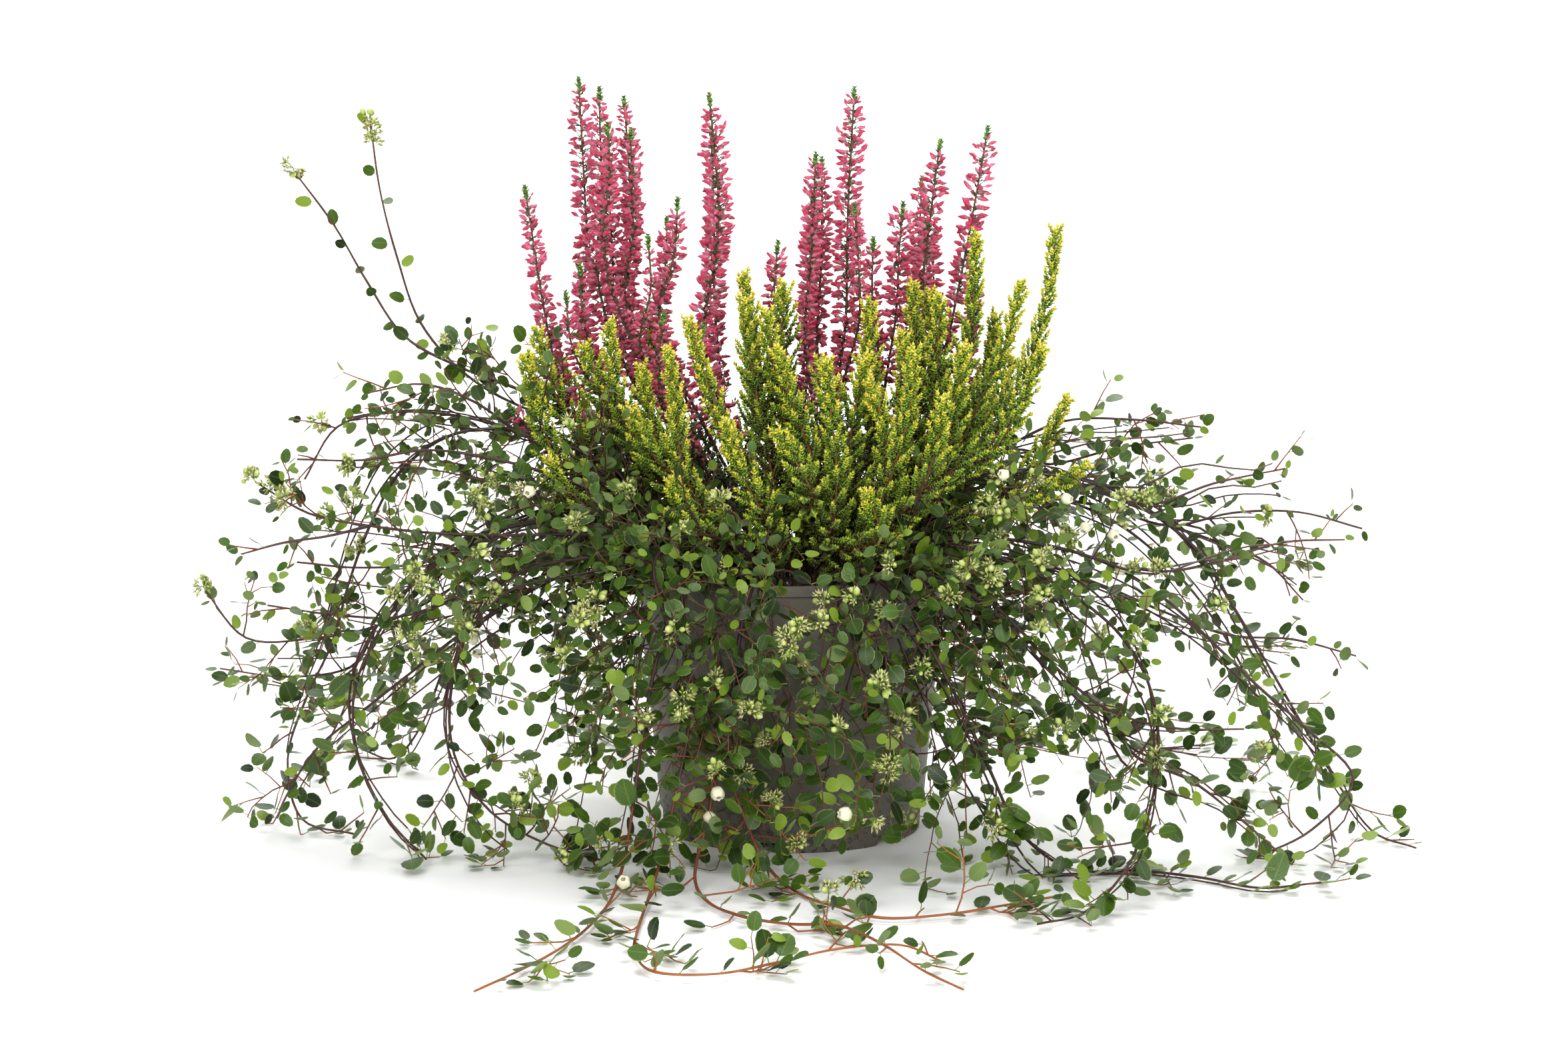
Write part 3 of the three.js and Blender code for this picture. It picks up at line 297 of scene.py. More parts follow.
def smooth_curve(points, fractions):
    """Points at these fractions of a uniform Catmull-Rom curve with reflected ends."""
    points = np.asarray(points, float)
    padded = np.vstack([2 * points[0] - points[1], points, 2 * points[-1] - points[-2]])
    place = np.clip(fractions, 0, 1) * (len(points) - 1)
    i = np.minimum(place.astype(int), len(points) - 2)
    w = (place - i)[:, None]
    a, b, c, d = (padded[i + k] for k in range(4))
    line = b + w * (c - a) / 2
    return line + w**2 * (a - 2.5 * b + 2 * c - d / 2) + w**3 * (1.5 * b - 1.5 * c + (d - a) / 2)


def even_steps(points, step):
    """The curve through points, cut into equal steps of about this length."""
    fractions = np.linspace(0, 1, ARC_DIVISIONS + 1)
    line = smooth_curve(points, fractions)
    lengths = running_length(line)
    count = max(3, int(lengths[-1] / step + 0.5))
    return smooth_curve(points, np.interp(np.linspace(0, lengths[-1], count + 1), lengths, fractions))


def running_length(line):
    return np.concatenate([[0.0], np.cumsum(np.linalg.norm(np.diff(line, axis=0), axis=1))])


def planting_places():
    i = np.arange(PLANTING_PLACES)
    reach = PLANTING_RADIUS * np.sqrt((i + 0.5) / PLANTING_PLACES)
    return list(zip(reach * np.cos(i * GOLDEN_ANGLE), reach * np.sin(i * GOLDEN_ANGLE)))


def rooted(node, points, pull, step, free_places):
    """A route that comes out of the soil at the free planting place nearest to its first point."""
    x, y = points[0][0] * pull, points[0][1] * pull
    x, y = free_places.pop(int(np.argmin([hypot(a - x, b - y) for a, b in free_places])))
    home = even_steps([[x, y, SOIL_TOP + ROOT_RISE], *points], step)
    return Route(node, np.vstack([[x, y, SOIL_TOP - ROOT_DEPTH], home]), fixed=2)


def leaving(parent, index, points, step):
    """A route that leaves another one at one of its steps."""
    home = even_steps([parent.home[index], *points], step)
    return Route(parent.node, home, parent=parent, leaves_at=index)


def nearest_step(route, target):
    return int(np.argmin(np.linalg.norm(route.home - np.asarray(target, float), axis=1)))


def spray_routes(node, spikes, shape, free_places):
    """A spray's leader and the spikes that fork from it. shape gives the reach of a spike as it rises."""
    routes = []
    for width, *points in spikes:
        if routes:
            fork = int(np.argmax(routes[0].home[:, 2] > FORK_HEIGHT))
            route = leaving(routes[0], fork, points, SPRAY_STEP)
        else:
            route = rooted(node, points, SPRAY_ROOT_PULL, SPRAY_STEP, free_places)
        last = len(route.home) - 1
        route.width = width
        route.start = nearest_step(route, points[0]) / last
        t = np.arange(last + 1) / last
        rise = (t - route.start) / (1 - route.start)
        route.radii = np.where(t < route.start, SPRAY_STEM_RADIUS, shape(width, rise))
        routes.append(route)
    return routes


def bud_reach(width, rise):
    return width / 2 * np.minimum(1, np.minimum(0.62 + 3 * rise, 0.45 + 2.6 * (1 - rise)))


def shoot_reach(width, rise):
    return (SHOOT_REACH + (TIP_REACH - SHOOT_REACH) * rise) * np.minimum(1, 0.5 + 4 * rise)


def vine_routes(node, stems, free_places):
    main, *sides = stems
    trunk = rooted(node, main, VINE_ROOT_PULL, VINE_STEP, free_places)
    routes = [trunk]
    for leaves_from, *points in sides:
        routes.append(leaving(trunk, nearest_step(trunk, main[leaves_from]), points, VINE_STEP))
    for route in routes:
        route.radii = np.linspace(VINE_RADIUS, VINE_TIP_RADIUS, len(route.home))
    return routes


# Spreading: routes of different nodes are pushed apart until each has room for its own radius


def near_pairs(points, first, radius, node):
    middle = (points[first] + points[first + 1]) / 2
    half = np.linalg.norm(points[first] - points[first + 1], axis=1) / 2
    reach = (radius + half)[:, None] + (radius + half)[None] + PAIR_MARGIN
    gap = ((middle[:, None] - middle[None]) ** 2).sum(2)
    a, b = np.nonzero(np.triu((gap < reach**2) & (node[:, None] != node[None]), 1))
    return a, b


def dot(a, b):
    return (a * b).sum(1)


def closest(points, p, q):
    """Where the spans that start at p and q come closest: the share along each, and the way between."""
    d = points[p + 1] - points[p]
    e = points[q + 1] - points[q]
    r = points[p] - points[q]
    dd, ee, de, dr, er = dot(d, d), dot(e, e), dot(d, e), dot(d, r), dot(e, r)
    spread_of_two = dd * ee - de * de
    crossing = spread_of_two > 1e-9
    s = np.where(crossing, np.clip((de * er - dr * ee) / np.where(crossing, spread_of_two, 1), 0, 1), 0)
    t = np.clip((de * s + er) / ee, 0, 1)
    s = np.clip((de * t - dr) / dd, 0, 1)
    return s, t, r + d * s[:, None] - e * t[:, None]


def wall_radius(height):
    share = (height - FOOT_HEIGHT) / (POT_HEIGHT - POT_RIM_BAND - FOOT_HEIGHT)
    return WALL_FOOT + (WALL_TOP - WALL_FOOT) * share


def clear_of_pot(points, radius):
    """Moves points off the pot's wall, over its rim and above the floor, in place."""
    reach = np.hypot(points[:, 0], points[:, 1])
    room = radius + POT_ROOM
    low = points[:, 2] < POT_HEIGHT
    outside = low & (reach > RIM_MIDDLE)
    inside = low & ~outside & (reach > RIM_INSIDE - room)
    over_rim = ~low & (np.abs(reach - RIM_MIDDLE) < RIM_ZONE)
    wall = wall_radius(np.maximum(points[:, 2], 0)) + POT_RIM_STEP + room
    wanted = np.where(outside, np.maximum(reach, wall), np.where(inside, RIM_INSIDE - room, reach))
    raised = np.where(over_rim, np.maximum(points[:, 2], POT_HEIGHT + room + POT_ROOM), points[:, 2])
    points[:, :2] *= (wanted / reach)[:, None]
    points[:, 2] = np.maximum(raised, radius + FLOOR_ROOM)


def spread(routes):
    starts = np.cumsum([0] + [len(route.home) for route in routes])
    home = np.vstack([route.home for route in routes])
    radii = np.concatenate([route.radii for route in routes])
    index = np.arange(len(home))
    owner = np.repeat(np.arange(len(routes)), np.diff(starts))
    before = np.maximum(index - 1, starts[owner])
    after = np.minimum(index + 1, starts[owner + 1] - 1)
    free = index >= starts[owner] + np.array([route.fixed for route in routes])[owner]
    first = index[:-1][owner[:-1] == owner[1:]]
    radius = np.maximum(radii[first], radii[first + 1])
    names = {name: i for i, name in enumerate(dict.fromkeys(route.node for route in routes))}
    node = np.array([names[route.node] for route in routes])[owner[first]]
    ties = [(starts[k], starts[routes.index(route.parent)] + route.leaves_at)
            for k, route in enumerate(routes) if route.parent]
    points = home.copy()
    for turn in range(SPREAD_ROUNDS):
        if turn % PAIR_REFRESH == 0:
            a, b = near_pairs(points, first, radius, node)
        s, t, between = closest(points, first[a], first[b])
        gap = np.linalg.norm(between, axis=1)
        lack = radius[a] + radius[b] + CLEARANCE - gap
        tight = lack > 0
        way = np.where(gap[:, None] > 1e-6, between / np.maximum(gap, 1e-6)[:, None], [[1, 0, 0]])
        step = (PUSH_SHARE * lack)[:, None] * way
        push = np.zeros_like(points)
        for ends, share in ((first[a], 1 - s), (first[a] + 1, s), (first[b], t - 1), (first[b] + 1, -t)):
            np.add.at(push, ends[tight], (step * share[:, None])[tight])
        moved = points + push - home
        shift = moved * (1 - 2 * SMOOTH_SHARE) + (moved[before] + moved[after]) * SMOOTH_SHARE
        shifted = home + shift
        clear_of_pot(shifted, radii)
        points[free] = shifted[free]
        for child, parent in ties:
            points[child] = points[parent]
    for k, route in enumerate(routes):
        route.points = points[starts[k]:starts[k + 1]]


@cache
def plant_routes():
    """The routes of each bud spray, foliage spray and vine, spread clear of each other as the solids are."""
    places = planting_places()
    vines = [vine_routes(f"vine_{i + 1:02d}", stems, places) for i, stems in enumerate(VINES)]
    foliage = [
        spray_routes(f"foliage_spray_{i + 1:02d}", [[0, *points] for points in spikes], shoot_reach, places)
        for i, spikes in enumerate(FOLIAGE_SPRAYS)
    ]
    buds = [
        spray_routes(f"bud_spray_{i + 1:02d}", spikes, bud_reach, places)
        for i, spikes in enumerate(BUD_SPRAYS)
    ]
    spread([route for group in (buds, foliage, vines) for routes in group for route in routes])
    return buds, foliage, vines


# Strands: a stem as a fine line of points in metres, with a direction and a side at each point


def unit(vectors):
    return vectors / np.maximum(np.linalg.norm(vectors, axis=-1, keepdims=True), 1e-12)


class Strand:
    def __init__(self, points):
        self.points = np.asarray(points, float)
        self.lengths = running_length(self.points)
        self.length = self.lengths[-1]
        self.ways = unit(np.gradient(self.points, axis=0))
        side = np.array([1.0, 0, 0]) if abs(self.ways[0][0]) < 0.9 else np.array([0, 1.0, 0])
        sides = []
        for way in self.ways:
            side = side - way * side.dot(way)
            side /= np.linalg.norm(side)
            sides.append(side)
        self.sides = np.array(sides)

    def at(self, distances):
        """The place, direction and two sides of the stem at these distances from its foot."""
        distances = np.atleast_1d(distances)

        def read(values):
            return np.stack([np.interp(distances, self.lengths, values[:, k]) for k in range(3)], axis=1)

        way = unit(read(self.ways))
        side = read(self.sides)
        side = unit(side - way * dot(side, way)[:, None])
        return read(self.points), way, side, np.cross(way, side)

    def around(self, distances, turns):
        """The place, direction and outward side at these distances, turned round the stem."""
        place, way, side, other = self.at(distances)
        turns = np.atleast_1d(turns)[:, None]
        out = side * np.cos(turns) + other * np.sin(turns)
        return place, way, out


def strand_of(route, samples_per_step):
    count = (len(route.points) - 1) * samples_per_step + 1
    return Strand(smooth_curve(route.points, np.linspace(0, 1, count)) * MM)


def length_at(strand, fraction):
    """The distance along a strand at a fraction of its route's steps."""
    return float(np.interp(fraction, np.linspace(0, 1, len(strand.lengths)), strand.lengths))


# Copies: where small pieces go, and which way they face


def axes_facing(out, normal):
    """Turn matrices that lay a piece's length along out and its upper face towards normal."""
    x = unit(out)
    z = unit(normal - x * dot(normal, x)[:, None])
    return np.stack([x, np.cross(z, x), z], axis=2)


class Copies:
    """Places for copies of a small piece: each has a point, a turn, a size and a kind."""

    def __init__(self):
        self.rows = []

    def add(self, place, out, normal, size, kind):
        count = len(place)
        self.rows.append((
            place,
            axes_facing(out, normal),
            np.broadcast_to(size, (count, 3)),
            np.broadcast_to(kind, (count,)).astype(int),
        ))

    def all(self):
        return [np.concatenate(column) for column in zip(*self.rows)]

    def within_box(self, margin=0.001):
        """Leaves out the copies whose tip would stand out of the solids' box."""
        place, turn, size, kind = self.all()
        low, high = np.array(CAD_LOW) + margin, np.array(CAD_HIGH) - margin
        kept = np.ones(len(place), bool)
        for x, y, z in SPOTS_IN_COPY:
            spot = place + np.einsum("nij,nj->ni", turn, size * (x, y, z))
            kept &= ((spot > low) & (spot < high)).all(1)
        self.rows = [(place[kept], turn[kept], size[kept], kind[kept])]
        return self


def euler_angles(turns):
    return np.stack([
        np.arctan2(turns[:, 2, 1], turns[:, 2, 2]),
        -np.arcsin(np.clip(turns[:, 2, 0], -1, 1)),
        np.arctan2(turns[:, 1, 0], turns[:, 0, 0]),
    ], axis=1)


# Meshes

SPOTS_IN_COPY = ((0, 0, 0), (1, 0, 0), (0.6, 0.4, 0), (0.6, -0.4, 0))
UV_NAME = "OFBake"


def give(mesh, name, kind, values):
    """Adds a point attribute to a mesh."""
    field = "value" if kind in ("FLOAT", "INT") else "vector"
    mesh.attributes.new(name, kind, "POINT").data.foreach_set(field, np.ravel(values))


def add_object(name, mesh):
    piece = bpy.data.objects.new(name, mesh)
    bpy.context.scene.collection.objects.link(piece)
    return piece


def smooth(mesh, sharp=None):
    """Shades a mesh smooth, with sharp edges where its faces meet at more than this many degrees."""
    mesh.polygons.foreach_set("use_smooth", [True] * len(mesh.polygons))
    if sharp:
        mesh.set_sharp_from_angle(angle=radians(sharp))


def add_mesh(name, vertices, faces, uvs=None):
    """A mesh object. uvs gives one place on the colour map for each vertex of each face, in order."""
    mesh = bpy.data.meshes.new(name)
    mesh.from_pydata([tuple(map(float, v)) for v in vertices], [], faces)
    if uvs is not None:
        layer = mesh.uv_layers.new(name=UV_NAME)
        layer.data.foreach_set("uv", np.ravel(uvs).astype(np.float32))
    smooth(mesh)
    mesh.update()
    return add_object(name, mesh)


def on_map(along, across=0.5):
    """Places on the colour map of a stem's finish, by how far along its colours they are."""
    return np.column_stack([along, np.full(len(along), across)])


def wire_object(name, lines):
    """A mesh of edges. Each line is its points, and the radius and the place on the colour map at each."""
    points = np.concatenate([line[0] for line in lines])
    counts = np.array([len(line[0]) for line in lines])
    last = np.zeros(len(points), bool)
    last[np.cumsum(counts) - 1] = True
    starts = np.nonzero(~last)[0]
    mesh = bpy.data.meshes.new(name)
    mesh.vertices.add(len(points))
    mesh.edges.add(len(starts))
    mesh.vertices.foreach_set("co", points.ravel())
    mesh.edges.foreach_set("vertices", np.stack([starts, starts + 1], axis=1).ravel())
    give(mesh, "reach", "FLOAT", np.concatenate([line[1] for line in lines]))
    shade = np.concatenate([line[2] for line in lines])
    give(mesh, "shade", "FLOAT_VECTOR", np.column_stack([shade, np.zeros(len(shade))]))
    return add_object(name, mesh)


def point_object(name, copies):
    place, turn, size, kind = copies.all()
    mesh = bpy.data.meshes.new(name)
    mesh.vertices.add(len(place))
    mesh.vertices.foreach_set("co", place.ravel())
    give(mesh, "turn", "FLOAT_VECTOR", euler_angles(turn))
    give(mesh, "size", "FLOAT_VECTOR", size)
    give(mesh, "kind", "INT", kind.astype(np.int32))
    return add_object(name, mesh)


# Geometry Nodes


class Nodes:
    """A node tree, built one node at a time."""

    tree = None

    def node(self, kind, links=(), **settings):
        """Adds a node. links are pairs of an input's name or number and its value or source."""
        made = self.tree.nodes.new(kind)
        for name, value in settings.items():
            setattr(made, name, value)
        for key, value in links:
            if isinstance(value, bpy.types.NodeSocket):
                self.tree.links.new(value, made.inputs[key])
            else:
                made.inputs[key].default_value = value
        return made.outputs

    def math(self, operation, a, b=0.0):
        return self.node("ShaderNodeMath", [(0, a), (1, b)], operation=operation)[0]

    def times(self, a, b):
        return self.math("MULTIPLY", a, b)


class Tree(Nodes):
    """A Geometry Nodes tree with named inputs."""

    def __init__(self, name, inputs):
        self.tree = bpy.data.node_groups.new(name, "GeometryNodeTree")
        sockets = self.tree.interface
        sockets.new_socket("Geometry", in_out="INPUT", socket_type="NodeSocketGeometry")
        for label, kind, default in inputs:
            socket = sockets.new_socket(label, in_out="INPUT", socket_type="NodeSocket" + kind)
            if default is not None:
                socket.default_value = default
        sockets.new_socket("Geometry", in_out="OUTPUT", socket_type="NodeSocketGeometry")
        self.inputs = self.tree.nodes.new("NodeGroupInput").outputs

    def read(self, name, kind):
        return self.node("GeometryNodeInputNamedAttribute", [("Name", name)], data_type=kind)[0]

    def end(self, geometry):
        realized = self.node("GeometryNodeRealizeInstances", [("Geometry", geometry)])[0]
        finish = [("Geometry", realized), ("Material", self.inputs["Material"])]
        painted = self.node("GeometryNodeSetMaterial", finish)[0]
        self.node("NodeGroupOutput", [("Geometry", painted)])
        return self.tree

    def place_pieces(self, points, kind, turn, size):
        """Ends the tree with copies of the collection's pieces at points, each picked by its kind."""
        pieces = self.node("GeometryNodeCollectionInfo", [
            ("Collection", self.inputs["Pieces"]), ("Separate Children", True), ("Reset Children", True),
        ])[0]
        copies = self.node("GeometryNodeInstanceOnPoints", [
            ("Points", points), ("Instance", pieces), ("Pick Instance", True), ("Instance Index", kind),
            ("Rotation", self.node("FunctionNodeEulerToRotation", [(0, turn)])[0]), ("Scale", size),
        ])[0]
        return self.end(copies)

    def chance(self, low, high, seed, *links):
        """A random number between two for each point."""
        links = [(2, low), (3, high), ("Seed", seed), *links]
        return self.node("FunctionNodeRandomValue", links, data_type="FLOAT")[1]


@cache
def stem_tree():
    """Round stems along a wire, with each point's own thickness and place on the colour map."""
    tree = Tree("Stems along a wire", [
        ("Sides", "Int", 5), ("Thickness", "Float", 1.0), ("Ring on the map", "Float", 0.012),
        ("Material", "Material", None),
    ])
    sides, ring = tree.inputs["Sides"], tree.inputs["Ring on the map"]
    circle = tree.node("GeometryNodeCurvePrimitiveCircle", [("Resolution", sides), ("Radius", 1.0)])[0]
    turn = tree.times(tree.node("GeometryNodeSplineParameter")["Factor"], TURN)
    section = tree.node("GeometryNodeStoreNamedAttribute", [
        ("Geometry", circle), ("Name", "round"), ("Value", turn),
    ], data_type="FLOAT", domain="POINT")[0]
    curve = tree.node("GeometryNodeMeshToCurve", [("Mesh", tree.inputs["Geometry"])])[0]
    thick = tree.times(tree.read("reach", "FLOAT"), tree.inputs["Thickness"])
    tube = tree.node("GeometryNodeCurveToMesh", [
        ("Curve", curve), ("Profile Curve", section), ("Scale", thick), ("Fill Caps", True),
    ])[0]
    angle = tree.read("round", "FLOAT")
    across = tree.times(tree.math("COSINE", angle), ring)
    along = tree.times(tree.math("SINE", angle), ring)
    offset = tree.node("ShaderNodeCombineXYZ", [("X", across), ("Y", along)])[0]
    place = tree.node("ShaderNodeVectorMath", [(0, tree.read("shade", "FLOAT_VECTOR")), (1, offset)])[0]
    mapped = tree.node("GeometryNodeStoreNamedAttribute", [
        ("Geometry", tube), ("Name", UV_NAME), ("Value", place),
    ], data_type="FLOAT2", domain="CORNER")[0]
    smooth = tree.node("GeometryNodeSetShadeSmooth", [("Geometry", mapped), ("Shade Smooth", True)])[0]
    return tree.end(smooth)


@cache
def copies_tree():
    """Copies of a collection's pieces at a mesh's points, each by its own turn, size and kind."""
    tree = Tree("Copies on points", [
        ("Pieces", "Collection", None), ("Size", "Float", 1.0), ("Size spread", "Float", 0.1),
        ("Seed", "Int", 0), ("Material", "Material", None),
    ])
    low, high = (tree.math(way, 1.0, tree.inputs["Size spread"]) for way in ("SUBTRACT", "ADD"))
    factor = tree.times(tree.chance(low, high, tree.inputs["Seed"]), tree.inputs["Size"])
    size = tree.node("ShaderNodeVectorMath", [
        (0, tree.read("size", "FLOAT_VECTOR")), ("Scale", factor),
    ], operation="SCALE")[0]
    kind, turn = tree.read("kind", "INT"), tree.read("turn", "FLOAT_VECTOR")
    return tree.place_pieces(tree.inputs["Geometry"], kind, turn, size)


def settle(piece):
    """Applies a piece's modifiers and leaves it a plain mesh."""
    graph = bpy.context.evaluated_depsgraph_get()
    evaluated = piece.evaluated_get(graph)
    before = piece.data
    mesh = bpy.data.meshes.new_from_object(evaluated, preserve_all_data_layers=True, depsgraph=graph)
    piece.modifiers.clear()
    piece.data = mesh
    bpy.data.meshes.remove(before)
    return mesh


def grown(piece, tree, **inputs):
    """Runs a tree on a piece with these inputs, and leaves the piece a plain mesh."""
    modifier = piece.modifiers.new("Grown", "NODES")
    modifier.node_group = tree
    for socket in tree.interface.items_tree:
        key = socket.name.lower().replace(" ", "_")
        if socket.in_out == "INPUT" and key in inputs:
            modifier[socket.identifier] = inputs[key]
    mesh = settle(piece)
    for name in ("turn", "size", "kind", "reach", "shade", "round", "radius"):
        if name in mesh.attributes:
            mesh.attributes.remove(mesh.attributes[name])
    mesh.uv_layers[UV_NAME].active_render = True
    if len(mesh.polygons) == 0:
        raise RuntimeError(f"{piece.name} came out empty")
    return piece


def declare(piece, nodes):
    """A finished piece rides with the plant and stands for these nodes, which it hides."""
    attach(piece, "root")
    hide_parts(*nodes)


def grow_stems(name, lines, finish, sides, nodes):
    """A piece of stems with this many sides along these lines."""
    declare(grown(wire_object(name, lines), stem_tree(), sides=sides, material=finish), nodes)


def grow_copies(name, copies, kinds, finish, look, nodes, sharp=None):
    """A piece of copies of the small pieces in kinds."""
    piece = grown(point_object(name, copies), copies_tree(), pieces=kinds.collection,
                  size_spread=look.size_spread, seed=look.seed, material=finish)
    if sharp:
        smooth(piece.data, sharp)
    declare(piece, nodes)


# Small pieces: each is one unit long along X with its upper face towards Z, and is copied many times


SQUARE_EDGE = 0.04
KEEL_PLACE = 0.42


class Kinds:
    """A collection of the kinds of one small piece. Kind number r * columns + c has tone r and shape c."""

    def __init__(self, name, columns, rows):
        self.columns = columns
        self.rows = rows
        self.name = name
        self.collection = bpy.data.collections.new(name)
        bpy.context.scene.collection.children.link(self.collection)

    def add(self, shape, row, column):
        """Adds a kind. shape is its vertices, faces and each face corner's place in its own map square."""
        vertices, faces, uvs = shape
        square = np.asarray(uvs) * (1 - 2 * SQUARE_EDGE) + SQUARE_EDGE
        uvs = (square + [column, row]) / [self.columns, self.rows]
        kind = add_mesh(f"{self.name}_{row * self.columns + column:03d}", vertices, faces, uvs)
        bpy.context.scene.collection.objects.unlink(kind)
        self.collection.objects.link(kind)

    def clear(self):
        for kind in list(self.collection.objects):
            mesh = kind.data
            bpy.data.objects.remove(kind)
            bpy.data.meshes.remove(mesh)
        bpy.data.collections.remove(self.collection)


def blade(base, tip, half_width, lift, up=(0, 0, 1)):
    """A small keeled leaf: a ridge from base to tip over two wings. Returns vertices, faces and places."""
    base, tip, up = (np.asarray(v, float) for v in (base, tip, up))
    way = tip - base
    side = unit(np.cross(up, way)) * half_width
    middle = base + way * KEEL_PLACE - unit(up) * lift
    vertices = [base, tip, middle + side, middle - side]
    faces = [(0, 1, 2), (1, 0, 3), (0, 2, 3), (1, 3, 2)]
    flat = [(0.5, 0), (0.5, 1), (1, KEEL_PLACE), (0, KEEL_PLACE)]
    uvs = [flat[corner] for face in faces for corner in face]
    return vertices, faces, uvs


def together(shapes):
    """Several shapes as one."""
    vertices, faces, uvs = [], [], []
    for some_vertices, some_faces, some_uvs in shapes:
        first = len(vertices)
        vertices.extend(some_vertices)
        faces.extend(tuple(first + corner for corner in face) for face in some_faces)
        uvs.extend(some_uvs)
    return vertices, faces, uvs


def ring_walls(rings, sides, place):
    """Faces between rings of points. place gives a corner's spot on the map by its turn and its ring."""
    faces, uvs = [], []
    for ring in range(rings - 1):
        for k in range(sides):
            low, high, after = ring * sides, (ring + 1) * sides, (k + 1) % sides
            faces.append((low + k, low + after, high + after, high + k))
            corners = ((k, ring), (k + 1, ring), (k + 1, ring + 1), (k, ring + 1))
            uvs.extend(place(step / sides, number) for step, number in corners)
    return faces, uvs


def tube_shape(places, radii, sides, uv_low, uv_high):
    """A thin bent tube through a few places, closed at both ends."""
    strand = Strand(places)
    vertices = []
    angles = np.arange(sides) * TURN / sides
    for place, side, way, radius in zip(strand.points, strand.sides, strand.ways, radii):
        other = np.cross(way, side)
        vertices.extend(place + radius * (cos(a) * side + sin(a) * other) for a in angles)
    low, high = np.asarray(uv_low), np.asarray(uv_high)
    last = len(places) - 1
    faces, uvs = ring_walls(last + 1, sides, lambda turn, ring: low + (high - low) * [turn, ring / last])
    faces.append(tuple(range(sides))[::-1])
    faces.append(tuple(range(len(vertices) - sides, len(vertices))))
    for _ in range(2):
        uvs.extend(low + (high - low) * [0.5 + 0.4 * cos(a), 0.5 + 0.4 * sin(a)] for a in angles)
    return vertices, faces, uvs


# Finishes


def rgb(code):
    """A colour as seen on a screen, in the linear values that shaders use."""
    parts = [int(code[k:k + 2], 16) / 255 for k in (1, 3, 5)]
    return tuple(p / 12.92 if p < 0.04045 else ((p + 0.055) / 1.055) ** 2.4 for p in parts) + (1.0,)


def colour_code(values):
    """The screen colour code of a colour property, whose values are linear."""
    parts = [p * 12.92 if p < 0.0031308 else 1.055 * p ** (1 / 2.4) - 0.055 for p in values[:3]]
    return "#" + "".join(f"{round(max(0.0, min(1.0, p)) * 255):02X}" for p in parts)


class Finish(Nodes):
    """A material built one node at a time round one Principled shader. colour is what it shows so far."""

    def __init__(self, name, **constants):
        self.material = bpy.data.materials.new(name)
        self.material.use_nodes = True
        self.tree = self.material.node_tree
        self.tree.nodes.clear()
        self.shader = self.tree.nodes.new("ShaderNodeBsdfPrincipled")
        for label, value in constants.items():
            self.shader.inputs[label.replace("_", " ")].default_value = value
        output = self.tree.nodes.new("ShaderNodeOutputMaterial")
        self.tree.links.new(self.shader.outputs[0], output.inputs["Surface"])
        self.colour = None

    def ramp(self, value, *stops):
        """Colours or greys along a value. Each stop is a place and a colour code or a number."""
        made = self.tree.nodes.new("ShaderNodeValToRGB")
        elements = made.color_ramp.elements
        while len(elements) < len(stops):
            elements.new(0.5)
        for element, (place, colour) in zip(elements, stops):
            element.position = place
            element.color = rgb(colour) if isinstance(colour, str) else (colour, colour, colour, 1)
        self.tree.links.new(value, made.inputs[0])
        return made.outputs[0]

    def even_ramp(self, value, colours, low=0.0, high=1.0):
        """These colours at even steps along a value."""
        return self.ramp(value, *zip(np.linspace(low, high, len(colours)), colours))

    def mix(self, factor, a, b):
        a, b = (rgb(colour) if isinstance(colour, str) else colour for colour in (a, b))
        return self.node("ShaderNodeMix", [(0, factor), (6, a), (7, b)], data_type="RGBA")[2]

    def cover(self, value, low, high, over, share=1.0):
        """Lays a colour, or a share of it, over what shows so far, between two stops along a value."""
        if share < 1:
            over = self.mix(share, self.colour, over)
        self.colour = self.mix(self.ramp(value, low, high), self.colour, over)

    def objects(self):
        return self.node("ShaderNodeTexCoord")["Object"]

    def stretched(self, vector, scale):
        return self.node("ShaderNodeMapping", [(0, vector), (3, scale)])[0]

    def noise(self, vector, scale, detail=3.0, roughness=0.55):
        return self.node("ShaderNodeTexNoise", [
            ("Vector", vector), ("Scale", scale), ("Detail", detail), ("Roughness", roughness),
        ])[0]

    def map_squares(self, columns, rows):
        """A small piece's place in its map square, across and up, its tone's share and its whole place."""
        spot = self.node("ShaderNodeUVMap", uv_map=UV_NAME)[0]
        x, y = self.node("ShaderNodeSeparateXYZ", [(0, spot)])[:2]
        x, y = self.times(x, columns), self.times(y, rows)
        tone = self.math("DIVIDE", self.math("FLOOR", y), max(1, rows - 1))
        return self.math("FRACT", x), self.math("FRACT", y), tone, spot

    def done(self, rough, height=None, depth=0.0, strength=1.0):
        """The material, with the colour so far, this roughness and relief of this depth."""
        surface = {"Base Color": self.colour, "Roughness": rough}
        if height is not None:
            relief = [("Strength", strength), ("Distance", depth), ("Height", height)]
            surface["Normal"] = self.node("ShaderNodeBump", relief)[0]
        for label, source in surface.items():
            self.tree.links.new(source, self.shader.inputs[label])
        return self.material


